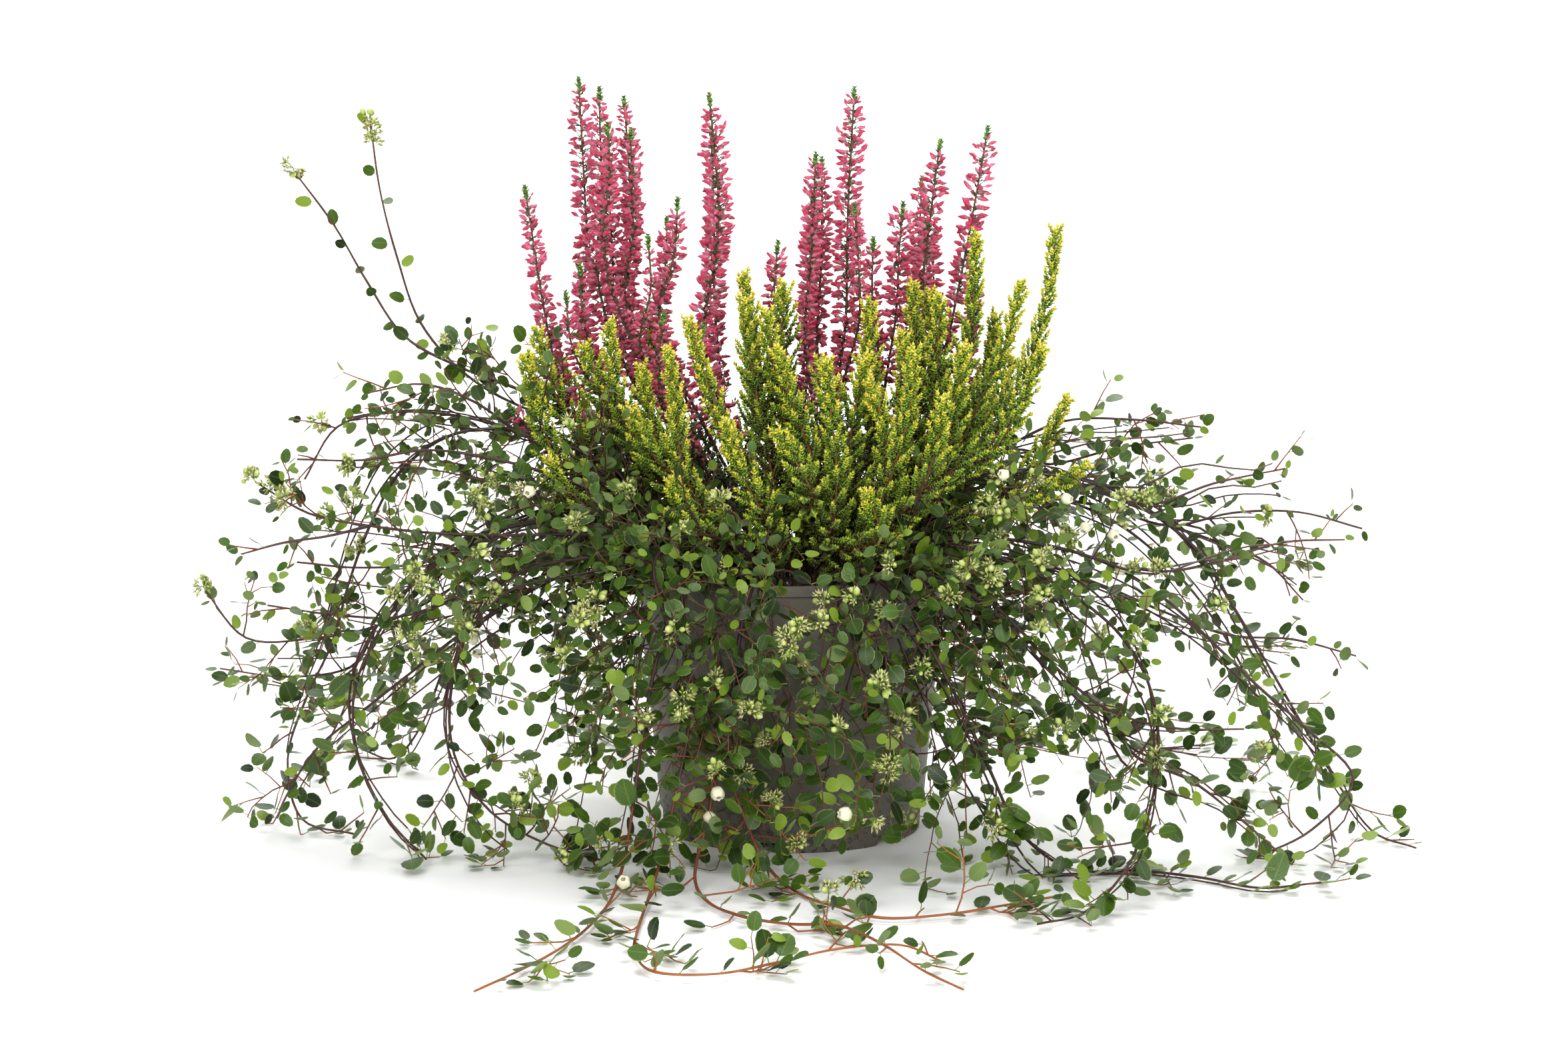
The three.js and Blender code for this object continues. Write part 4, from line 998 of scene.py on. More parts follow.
@cache
def bud_finish(columns, rows):
    """Deep pink sepals, paler at the foot and along their edges, with fine darker veins."""
    look = bpy.context.scene.bud_heather
    finish = Finish("Heather buds", Roughness=0.42, Specular_IOR_Level=0.45, Sheen_Weight=0.1,
                    Subsurface_Weight=0.12, Subsurface_Radius=(0.0012, 0.0005, 0.0005))
    u, v, tone, spot = finish.map_squares(columns, rows)
    deep, pale = colour_code(look.bud_colour), colour_code(look.bud_foot_colour)
    body = finish.ramp(tone, (0, "#880B2A"), (0.34, deep), (0.67, "#C82853"), (1, "#DC5F82"))
    foot = finish.ramp(v, (0.05, 0.85), (0.22, 0.55), (0.4, 0.05), (0.7, 0.0), (1, 0.15))
    finish.colour = finish.mix(foot, body, pale)
    sepals = finish.math("COSINE", finish.times(u, 8 * pi))
    finish.cover(sepals, (0.5, 0.0), (0.98, 0.24), "#F0B4C6")
    veins = finish.noise(finish.stretched(spot, (260, 40, 1)), 1.0, 2.0, 0.5)
    finish.cover(veins, (0.45, 0.0), (0.75, 0.5), "#9C1F4A")
    finish.cover(v, (0.03, 0.9), (0.12, 0.0), "#4E4A26")
    return finish.done(finish.ramp(veins, (0.3, 0.36), (0.8, 0.55)), veins, 0.0002, 0.5)


@cache
def scale_leaf_finish(name, tones, edge_colour, edge_share):
    """Small needle leaves in rows of tones, with paler edges and tips and a fine grain."""
    finish = Finish(name, Roughness=0.5, Specular_IOR_Level=0.4,
                    Subsurface_Weight=0.08, Subsurface_Radius=(0.0008, 0.001, 0.0003))
    u, v, tone, spot = finish.map_squares(2, len(tones))
    colour = finish.even_ramp(tone, tones)
    away = finish.math("ABSOLUTE", finish.math("SUBTRACT", u, 0.5))
    edge = finish.times(finish.ramp(away, (0.22, 0.0), (0.48, 1.0)), edge_share)
    tip = finish.times(finish.ramp(v, (0.55, 0.0), (1.0, 0.7)), edge_share)
    finish.colour = finish.mix(finish.math("MAXIMUM", edge, tip), colour, edge_colour)
    finish.cover(v, (0.0, 0.45), (0.3, 0.0), "#3A4A18", 0.5)
    grain = finish.noise(spot, 220.0)
    finish.cover(grain, (0.35, 0.0), (0.75, 0.35), "#2B3A12", 0.4)
    return finish.done(finish.ramp(grain, (0.3, 0.42), (0.8, 0.62)), grain, 0.0001, 0.5)


@cache
def stem_finish(name, colours, roughness=0.6):
    """Bark that changes along the map from the first colour to the last, with grain and patches."""
    finish = Finish(name, Roughness=roughness, Specular_IOR_Level=0.35)
    spot = finish.node("ShaderNodeUVMap", uv_map=UV_NAME)[0]
    along = finish.node("ShaderNodeSeparateXYZ", [(0, spot)])[0]
    finish.colour = finish.even_ramp(along, colours, 0.05, 0.95)
    grain = finish.noise(finish.objects(), 2600.0, 4.0)
    finish.cover(grain, (0.4, 0.0), (0.8, 0.5), "#140E0C", 0.5)
    finish.cover(finish.noise(finish.objects(), 160.0), (0.5, 0.0), (0.8, 0.35), "#8A6A55", 0.6)
    rough = finish.ramp(grain, (0.3, roughness - 0.12), (0.8, roughness + 0.15))
    return finish.done(rough, grain, 0.0002, 0.6)


@cache
def vine_leaf_finish(columns, rows):
    """Glossy oval leaves: a paler midrib and veins, a lighter band inside the rim that is a painted
    highlight, a little red at the rim, a dull underside.
    """
    finish = Finish("Wire vine leaves", Roughness=0.4, Specular_IOR_Level=0.34,
                    Subsurface_Weight=0.06, Subsurface_Radius=(0.0006, 0.001, 0.0003))
    u, v, tone, spot = finish.map_squares(columns, rows)
    under = finish.math("GREATER_THAN", u, 0.5)
    side = finish.math("SUBTRACT", finish.math("FRACT", finish.times(u, 2.0)), 0.5)
    along = finish.math("SUBTRACT", v, 0.5)
    reach = finish.math("SQRT", finish.math("ADD", finish.times(side, side), finish.times(along, along)))
    away = finish.math("ABSOLUTE", side)
    slope = finish.math("SUBTRACT", v, finish.times(away, 0.9))
    veins = finish.math("ABSOLUTE", finish.math("SINE", finish.times(slope, 22.0)))
    grain = finish.noise(spot, 90.0, 4.0)
    usual = colour_code(bpy.context.scene.wire_vine.leaf_colour)
    finish.colour = finish.ramp(tone, (0, "#172908"), (0.34, usual), (0.67, "#3F5C14"), (1, "#769026"))
    finish.cover(veins, (0.0, 0.18), (0.16, 0.0), "#7A9A46")
    finish.cover(away, (0.0, 0.28), (0.035, 0.0), "#86A350")
    finish.cover(grain, (0.42, 0.0), (0.72, 0.4), "#1D3317", 0.5)
    # Painted highlight: a lighter band just inside the rim stands in for the sheen on the glossy rim.
    finish.cover(reach, (0.395, 0.0), (0.455, 0.6), "#A3B860")
    rim = finish.ramp(reach, (0.44, 0.0), (0.47, 1.0))
    broken = finish.times(rim, finish.ramp(grain, (0.4, 0.0), (0.6, 0.7)))
    finish.colour = finish.mix(broken, finish.colour, "#8C4A38")
    finish.colour = finish.mix(under, finish.colour, finish.mix(0.4, finish.colour, "#93A868"))
    rough = finish.math("ADD", finish.ramp(grain, (0.3, 0.33), (0.8, 0.5)), finish.times(under, 0.2))
    relief = finish.math("ADD", finish.ramp(veins, (0.0, 0.0), (0.25, 0.6)), grain)
    return finish.done(rough, relief, 0.00012, 0.6)


@cache
def small_flower_finish(name, tones, tip_colour, foot_colour, hollow_colour=None):
    """Waxy petals in rows of tones, with coloured tips and feet, and a dark hollow where there is one."""
    finish = Finish(name, Roughness=0.45, Subsurface_Weight=0.15, Subsurface_Radius=(0.0009, 0.0009, 0.0005))
    _, v, tone, spot = finish.map_squares(2, len(tones))
    finish.colour = finish.even_ramp(tone, tones)
    finish.cover(v, (0.0, 0.8), (0.4, 0.0), foot_colour)
    finish.cover(v, (0.6, 0.0), (1.0, 0.6), tip_colour)
    grain = finish.noise(spot, 160.0)
    finish.cover(grain, (0.4, 0.0), (0.8, 0.3), "#6E7A3A", 0.4)
    if hollow_colour:
        finish.cover(v, (0.76, 0.0), (0.88, 0.7), hollow_colour)
    return finish.done(finish.ramp(grain, (0.3, 0.36), (0.8, 0.58)), grain, 0.0001, 0.4)


@cache
def pot_finish():
    """Matt grey-brown plastic with fine moulded grain, scuffs, dull mottling and dried grime low down."""
    finish = Finish("Pot plastic", Roughness=0.5, Specular_IOR_Level=0.4)
    place = finish.objects()
    height = finish.node("ShaderNodeSeparateXYZ", [(0, place)])[2]
    cloud = finish.noise(place, 38.0, 5.0)
    fine = finish.noise(place, 900.0, 4.0, 0.6)
    scuff = finish.noise(finish.stretched(place, (30, 30, 420)), 1.0, 3.0)
    low = finish.ramp(finish.math("DIVIDE", height, POT_HEIGHT * MM), (0.0, 1.0), (0.28, 0.15), (0.5, 0.0))
    specks = finish.ramp(finish.noise(place, 420.0, 3.0, 0.7), (0.52, 0.0), (0.62, 1.0))
    grime = finish.times(low, specks)
    finish.colour = colour_code(bpy.context.scene.nursery_pot.colour)
    finish.cover(cloud, (0.35, 0.0), (0.68, 0.6), "#686459")
    finish.cover(fine, (0.45, 0.0), (0.75, 0.35), "#48443B")
    finish.cover(scuff, (0.62, 0.0), (0.8, 0.35), "#8D877B")
    finish.colour = finish.mix(finish.times(grime, 0.75), finish.colour, "#2A221B")
    rough = finish.math("ADD", finish.ramp(cloud, (0.3, 0.42), (0.75, 0.56)), finish.times(grime, 0.3))
    grooves = finish.math("ADD", finish.times(scuff, 0.5), finish.times(grime, 0.8))
    return finish.done(rough, finish.math("ADD", fine, grooves), 0.00022, 0.45)


@cache
def soil_finish():
    """Damp peat: near black, with brown fibres and crumbs."""
    finish = Finish("Peat soil", Roughness=0.95, Specular_IOR_Level=0.25)
    place = finish.objects()
    clumps = finish.noise(place, 260.0, 6.0, 0.65)
    crumbs = finish.node("ShaderNodeTexVoronoi", [("Vector", place), ("Scale", 700.0)])[0]
    finish.colour = finish.ramp(clumps, (0.3, "#0E0A08"), (0.5, "#1D1510"), (0.72, "#33261B"))
    finish.cover(crumbs, (0.0, 0.5), (0.35, 0.0), "#4A3A2A")
    relief = finish.math("ADD", clumps, finish.times(crumbs, 0.6))
    return finish.done(finish.ramp(clumps, (0.3, 0.8), (0.7, 1.0)), relief, 0.0012, 0.8)


@cache
def crumb_finish():
    """Peat crumbs and white perlite, told apart by their row on the map."""
    finish = Finish("Peat crumbs and perlite", Roughness=0.92, Specular_IOR_Level=0.25)
    tone = finish.map_squares(2, 3)[2]
    finish.colour = finish.ramp(tone, (0.0, "#15100C"), (0.5, "#3B2B1E"), (1.0, "#CFC9BC"))
    grain = finish.noise(finish.objects(), 2200.0, 4.0)
    finish.cover(grain, (0.4, 0.0), (0.7, 0.7), "#120D0A", 0.6)
    return finish.done(finish.ramp(grain, (0.3, 0.8), (0.7, 1.0)), grain, 0.0004, 0.6)


@cache
def backdrop_finish():
    finish = Finish("Pale backdrop", Roughness=0.8)
    cloud = finish.noise(finish.objects(), 2.0)
    finish.colour = "#FCFCFC"
    finish.cover(cloud, (0.4, 0.0), (0.6, 1.0), "#FEFEFE")
    return finish.done(finish.ramp(cloud, (0.4, 0.78), (0.6, 0.82)))


# Bud heather

BUD_SHAPES = 3
BUD_BELLY = 0.36
BUD_SHOULDER = 0.72
BUD_TONES = 4
LEAF_TONES = 6
BUD_STEM_FOOT = 0.9 * MM
BUD_STEM_TIP = 0.42 * MM
LEAFY_FROM = 122 * MM
GREEN_TIP = 6 * MM
HEATHER_SAMPLES = 5
SHORTEST_STALK = 2.0 * MM
LOWER_BUDS = 30 * MM


def bud_shape(bend, parted):
    """A pointed bud of four sepals, one unit long. bend curves it upwards; parted opens its tips a little."""
    vertices, faces, uvs = [], [], []

    def ring(x, radius, sides, lobe=1.0):
        for k in range(sides):
            reach = radius * (1.0 if sides == 4 or k % 2 == 0 else lobe)
            angle = k * TURN / sides
            vertices.append((x, reach * cos(angle), reach * sin(angle) + bend * x * x))

    ring(0.0, 0.16, 4)
    ring(BUD_BELLY, 0.5, 8, 0.8)
    ring(BUD_SHOULDER, 0.34, 4)
    for k in range(4):
        low, high, wide, next_wide = k, 12 + k, 4 + 2 * k, 4 + (2 * k + 2) % 8
        after_low, after_high = (k + 1) % 4, 12 + (k + 1) % 4
        u, step = k / 4, 0.25
        for foot, v, turn in ((low, 0.0, 1), (high, BUD_SHOULDER, -1)):
            after = after_low if turn == 1 else after_high
            fan = [
                ((foot, wide, wide + 1), (u, u, u + step / 2)),
                ((foot, wide + 1, after), (u, u + step / 2, u + step)),
                ((after, wide + 1, next_wide), (u + step, u + step / 2, u + step)),
            ]
            for corners, across in fan:
                corners, across = corners[::-turn], across[::-turn]
                faces.append(corners)
                uvs.extend((x, BUD_BELLY if 4 <= c < 12 else v) for c, x in zip(corners, across))
    if parted:
        for k in range(4):
            angle = k * pi / 2
            vertices.append((1.0, 0.27 * cos(angle), 0.27 * sin(angle) + bend))
        vertices.append((0.7, 0, bend * 0.5))
        for k in range(4):
            after = (k + 1) % 4
            low, high = 12 + k, 12 + after
            faces.extend([(low, high, 16 + k), (16 + k, high, 20), (16 + after, 20, high)])
            left, right, hollow = (k / 4, BUD_SHOULDER), (k / 4 + 0.25, BUD_SHOULDER), (k / 4 + 0.1, 0.8)
            uvs.extend([left, right, (k / 4, 1.0), (k / 4, 1.0), right, hollow])
            uvs.extend([(k / 4 + 0.25, 1.0), hollow, right])
    else:
        vertices.append((1.0, 0, bend))
        for k in range(4):
            faces.append((12 + k, 12 + (k + 1) % 4, 16))
            uvs.extend([(k / 4, BUD_SHOULDER), (k / 4 + 0.25, BUD_SHOULDER), (k / 4 + 0.12, 1.0)])
    faces.append((3, 2, 1, 0))
    uvs.extend([(0.8, 0.02), (0.55, 0.02), (0.3, 0.02), (0.05, 0.02)])
    return vertices, faces, uvs


def bud_kinds():
    kinds = Kinds("bud_kind", BUD_SHAPES, BUD_TONES)
    for tone in range(BUD_TONES):
        for column, (bend, parted) in enumerate(((0.0, False), (0.22, False), (0.08, True))):
            kinds.add(bud_shape(bend, parted), tone, column)
    return kinds


def needle_kinds(tones):
    """Two shapes of small keeled leaf in each tone."""
    kinds = Kinds("needle_kind", 2, tones)
    for tone in range(tones):
        kinds.add(blade((0, 0, 0), (1, 0, 0), 0.5, 0.34), tone, 0)
        kinds.add(blade((0, 0, 0), (1, 0, 0.14), 0.44, 0.44), tone, 1)
    return kinds


@cache
def bud_heather_growth():
    """The stems, buds and leaves of every bud spray, by spray."""
    look = bpy.context.scene.bud_heather
    chance = np.random.default_rng(look.seed)
    sprays = []
    for routes in plant_routes()[0]:
        spray = BudSpray(routes[0].node)
        for route in routes:
            grow_bud_spike(route, look, chance, spray)
        sprays.append(spray)
    return sprays


class BudSpray:
    """What grows on one bud spray: stems, the thin stalks of its buds, buds and leaves."""

    def __init__(self, node):
        self.node = node
        self.stems = []
        self.stalks = []
        self.buds = Copies()
        self.leaves = Copies()


def grow_bud_spike(route, look, chance, spray):
    strand = strand_of(route, HEATHER_SAMPLES)
    start = length_at(strand, route.start)
    lowest = max(start - LOWER_BUDS, 0.35 * strand.length)
    share = strand.lengths / strand.length
    radii = BUD_STEM_FOOT + (BUD_STEM_TIP - BUD_STEM_FOOT) * share
    spray.stems.append((strand.points, radii, on_map(0.08 + 0.84 * share)))
    turn = chance.uniform(0, TURN)
    full = look.bud_length
    hidden = np.arange(lowest, start, look.whorl_spacing * 1.25)
    for distance in np.append(hidden, np.arange(start, strand.length - GREEN_TIP, look.whorl_spacing)):
        rise = max(0.08, (distance - start) / (strand.length - start))
        reach = bud_reach(route.width, rise) * MM
        count = round(3.4 + 0.24 * route.width) + chance.integers(-1, 2)
        turn += 0.62 + chance.normal(0, 0.3)
        angles = turn + np.arange(count) * TURN / count + chance.normal(0, 0.32, count)
        where = distance + chance.normal(0, 0.85 * MM, count)
        place, way, out = strand.around(where, angles)
        lift = chance.normal(0.02 + 0.32 * rise, 0.34, count)
        risen = out * np.cos(lift)[:, None] + way * np.sin(lift)[:, None]
        facing = unit(risen + chance.normal(0, 0.14, (count, 3)))
        long = np.minimum(full * (1 - 0.34 * max(0, rise - 0.55) / 0.45), reach * 0.9)
        long = long * chance.uniform(0.78, 1.1, count)
        foot = np.maximum(reach * chance.uniform(0.84, 1.14, count) - long * np.cos(lift), 0.5 * MM)
        base = place + out * foot[:, None] + way * (foot * np.tan(lift * 0.6))[:, None]
        thick = look.bud_width * long / full * chance.uniform(0.85, 1.12, count)
        size = np.stack([long, thick, thick], axis=1)
        tone = np.clip(chance.normal(1.2 + 1.1 * rise, 0.9, count), 0, BUD_TONES - 1).round()
        shape = chance.choice(BUD_SHAPES, count, p=(0.4, 0.3, 0.3))
        spray.buds.add(base, facing, way, size, tone * BUD_SHAPES + shape)
        for low, high in zip(place - way * (0.8 * MM), base + facing * (0.2 * MM)):
            if np.linalg.norm(high - low) > SHORTEST_STALK:
                spray.stalks.append((np.array([low, high]), np.full(2, 0.2 * MM), np.full((2, 2), 0.62)))
        add_bud_leaves(place, way, out, rise, chance, spray.leaves)
    add_bud_stem_leaves(strand, lowest, chance, spray.leaves)


def add_bud_leaves(place, way, out, rise, chance, leaves):
    """Small dark leaves on the stem under the buds."""
    count = len(place)
    reach = unit(out * 0.75 + way * chance.uniform(0.2, 1.0, (count, 1)))
    size = np.array([2.5, 1.1, 1.0]) * MM * chance.uniform(0.7, 1.2, (count, 1))
    kind = np.clip(chance.normal(2.5 + 3 * rise, 2.2, count), 0, 2 * LEAF_TONES - 1)
    leaves.add(place - way * (0.7 * MM) + out * (0.3 * MM), reach, way - out, size, kind)


def add_bud_stem_leaves(strand, start, chance, leaves):
    """Short leafy shoots below the lowest bud, and the crowded green leaves of the tip."""
    low = float(np.interp(LEAFY_FROM, strand.points[:, 2], strand.lengths))
    turn = chance.uniform(0, TURN)
    for distance in np.arange(low, start + 4 * MM, 3.0 * MM):
        turn += GOLDEN_ANGLE
        place, way, out = (values[0] for values in strand.around(distance, turn))
        long = chance.uniform(5, 13) * MM * (1.15 - 0.6 * (distance - low) / (start - low))
        tuft = Strand(place + np.outer([0, 0.5, 1], unit(out + way * 1.1)) * long)
        distances = np.repeat(np.arange(0.8 * MM, tuft.length, 1.25 * MM), 2)
        index = np.arange(len(distances))
        spots, ways, outs = tuft.around(distances, index * pi + (index // 2 % 2) * pi / 2)
        size = np.array([2.5, 1.1, 1.1]) * MM * chance.uniform(0.8, 1.15, (len(index), 1))
        tone = chance.integers(0, 2 * (LEAF_TONES - 2), len(index))
        leaves.add(spots, unit(outs * 0.8 + ways), outs, size, tone)
    end = strand.length
    distances = np.repeat(np.arange(end - GREEN_TIP - 0.5 * MM, end - 0.6 * MM, 1.05 * MM), 4)
    index = np.arange(len(distances))
    turns = index * pi / 2 + (index // 4 % 2) * pi / 4 + chance.normal(0, 0.15, len(index))
    place, way, out = strand.around(distances, turns)
    share = (end - distances) / GREEN_TIP
    swell = np.minimum(1.1, 0.7 + 0.6 * np.minimum(share, 1))[:, None]
    reach = unit(out * chance.uniform(0.65, 1.1, (len(index), 1)) + way)
    size = np.array([2.8, 1.8, 1.6]) * MM * swell * chance.uniform(0.85, 1.15, (len(index), 1))
    leaves.add(place, reach, out, size, chance.integers(2 * (LEAF_TONES - 4), 2 * LEAF_TONES, len(index)))


# Foliage heather

FOLIAGE_TONES = 8
TWIG_RADIUS = 0.32 * MM


@cache
def foliage_heather_growth():
    """The stems and scale leaves of every foliage spray, by spray."""
    look = bpy.context.scene.foliage_heather
    chance = np.random.default_rng(look.seed)
    sprays = []
    for routes in plant_routes()[1]:
        lines, twigs, leaves = [], [], Copies()
        for route in routes:
            grow_foliage_spike(route, look, chance, lines, twigs, leaves)
        sprays.append((routes[0].node, lines, twigs, leaves))
    return sprays


def grow_foliage_spike(route, look, chance, lines, twigs, leaves):
    strand = strand_of(route, HEATHER_SAMPLES)
    start = length_at(strand, route.start)
    low = float(np.interp(look.lowest_shoot, strand.points[:, 2], strand.lengths))
    share = strand.lengths / strand.length
    radii = (0.95 - 0.6 * share) * MM
    lines.append((strand.points, radii, on_map(0.08 + 0.7 * share)))
    spike_tone = chance.normal(0, 0.5)
    turn = chance.uniform(0, TURN)
    distance = low
    while distance < strand.length - 2.5 * MM:
        rise = (distance - start) / (strand.length - start)
        below = max(0.0, -rise)
        rise = max(0.0, rise)
        turn += GOLDEN_ANGLE + chance.normal(0, 0.12)
        long = look.shoot_length * (1 - 0.62 * rise**0.9 + 0.15 * min(1.0, below)) * chance.uniform(0.75, 1.1)
        long = min(long, (strand.length - distance) * 0.9 + 3.2 * MM)
        place, way, out = (values[0] for values in strand.around(distance, turn))
        lean = chance.normal(0.8 - 0.2 * rise, 0.07)
        angles = lean * np.array([1.0, 0.85, 0.65, 0.5])
        bend = unit(chance.normal(0, 1, 3)) * 0.1
        steps = np.stack([unit(out * sin(a) + way * cos(a) + bend) for a in angles]) * long / 4
        points = place + np.vstack([np.zeros(3), np.cumsum(steps, axis=0)])
        twigs.append((points[[0, 3]], np.array([1.0, 0.6]) * TWIG_RADIUS, on_map([0.3, 0.85])))
        # Shoots below the spike's start are drawn darker: painted shade low in the spike.
        height = rise - 0.5 * min(1.0, below)
        add_scale_leaves(Strand(points), 0.5 * MM, height, spike_tone, look, chance, leaves)
        distance += look.shoot_spacing * (1 + 0.25 * min(1.0, below) - 0.35 * rise) * chance.uniform(0.8, 1.2)
    crown = Strand(strand.at(np.linspace(strand.length - 7 * MM, strand.length, 5))[0])
    add_scale_leaves(crown, 0.0, 1.0, spike_tone, look, chance, leaves, 1.15)


def add_scale_leaves(shoot, start, rise, spike_tone, look, chance, leaves, scale=1.0):
    """Opposite pairs of scale leaves, each pair turned a quarter from the one below."""
    distances = np.repeat(np.arange(start, shoot.length, look.leaf_spacing * scale), 2)
    index = np.arange(len(distances))
    turns = index * pi + (index // 2 % 2) * pi / 2 + 0.4
    place, way, out = shoot.around(distances, turns)
    along = distances / shoot.length
    lean = np.where(along > 0.85, 0.3, 0.58)[:, None]
    facing = unit(out * lean + way * 0.8)
    taper = (1.0 - 0.3 * np.clip(along - 0.75, 0, 1) / 0.25)[:, None]
    size = np.array([look.leaf_length, look.leaf_width, look.leaf_width * 0.9])
    size = size * taper * scale * chance.uniform(0.85, 1.12, (len(index), 1))
    # The tone goes from dark at a shoot's foot and low on the spike to yellow at the tips. The yellow young
    # tips are the heather's own colour; the darkness deep in the spike is painted shade for the dark gaps
    # between spikes.
    light = -0.02 + 0.4 * rise + 0.74 * along**1.3 + 0.09 * spike_tone
    tone = np.clip(chance.normal(light * (FOLIAGE_TONES - 1), 0.7, len(index)), 0, FOLIAGE_TONES - 1).round()
    leaves.add(place, facing, out - way * 0.2, size, tone * 2 + chance.integers(0, 2, len(index)))


# Wire vine

VINE_SHAPES = 4
VINE_TONES = 4
PETIOLE = 0.24
ORANGE_RUNNERS = ("vine_12", "vine_13", "vine_14")
HANG_DROOP = 0.42
FULLNESS = {"vine_09": 1.5, "vine_10": 1.9, "vine_12": 0.9, "vine_13": 1.15, "vine_14": 1.3, "vine_15": 1.4}
COMPANIONS = 2
COMPANION_BOW = 7 * MM
LARGE_LEAF_LENGTH = 15.5 * MM
FRONT_STEMS = 13
RIGHT_FULLNESS = 0.78
CROWN_REACH = 100 * MM
CROWN_RISE = 24
CROWN_BACK = 0.01
CROWN_LEAVES = 0.45
POT_FRONT_LEAVES = 0.76
POT_FRONT_HALF = 0.07
POT_FRONT_FROM = -0.04
ORANGE_BELOW = 90 * MM
LOW_LEAF_SWELL = 0.35
SWELL_BELOW = 90 * MM
SWELL_SPAN = 60 * MM
FLAT_BELOW = 7 * MM
SPARSE_ABOVE = {"vine_01": 190 * MM}
TRUNK_RADII = (0.95, 0.46)
BRANCH_RADII = (0.75, 0.42)
NEAR_POT = 70 * MM
FAR_SPAN = 90 * MM
TWIG_STEP = 6.3 * MM
VINE_SAMPLES = 6
BOX_MARGIN = 3 * MM
LEAF_WALL_GAP = 2.5 * MM
MOST_LEAVES = 200


def leaf_shape(width, cup, fold, tip):
    """An oval leaf, one unit long with its stalk. cup bends its length, fold its halves."""
    rim_points = 10
    half = (1 - PETIOLE) / 2
    centre = PETIOLE + half

    def lifted(x, y, swell):
        return x, y, cup * ((x - centre) / half) ** 2 * half + fold * abs(y) + swell

    rim, flats = [], []
    for k in range(rim_points):
        c, s = cos(TURN * k / rim_points), sin(TURN * k / rim_points)
        reach = half * (1 + tip * max(0.0, c) ** 4)
        rim.append(lifted(centre + reach * c, width / 2 * s * (1 - 0.1 * c), 0))
        flats.append((0.5 + 0.46 * s, 0.5 + 0.46 * c))
    flats += [(0.5, 0.68), (0.5, 0.34)]
    middles = (centre + half * 0.4, centre - half * 0.35)
    vertices = rim + [lifted(x, 0, swell) for swell in (0.014, -0.014) for x in middles]
    fans = []
    for k in range(rim_points):
        near = 0 if k < 2 or k > 7 else 1
        fans.append((k, (k + 1) % rim_points, rim_points + near))
    fans += [(2, rim_points + 1, rim_points), (8, rim_points, rim_points + 1)]
    faces, uvs = [], []
    for side in (0, 1):
        for fan in fans:
            fan = fan if side == 0 else fan[::-1]
            faces.append(tuple(k + 2 * side * (k >= rim_points) for k in fan))
            uvs.extend((flats[k][0] / 2 + side / 2, flats[k][1]) for k in fan)
    ends = [(0, 0, 0), lifted(PETIOLE + 0.06, 0, 0)]
    stalk = tube_shape(ends, [0.022, 0.017], 3, (0.235, 0.03), (0.265, 0.05))
    return together([(vertices, faces, uvs), stalk])


def vine_leaf_kinds():
    kinds = Kinds("leaf_kind", VINE_SHAPES, VINE_TONES)
    shapes = (
        (0.57, 0.1, 0.1, 0.0), (0.66, -0.12, 0.06, 0.0), (0.51, 0.16, 0.2, 0.06), (0.54, -0.2, -0.08, 0.1),
    )
    for tone in range(VINE_TONES):
        for column, shape in enumerate(shapes):
            kinds.add(leaf_shape(*shape), tone, column)
    return kinds


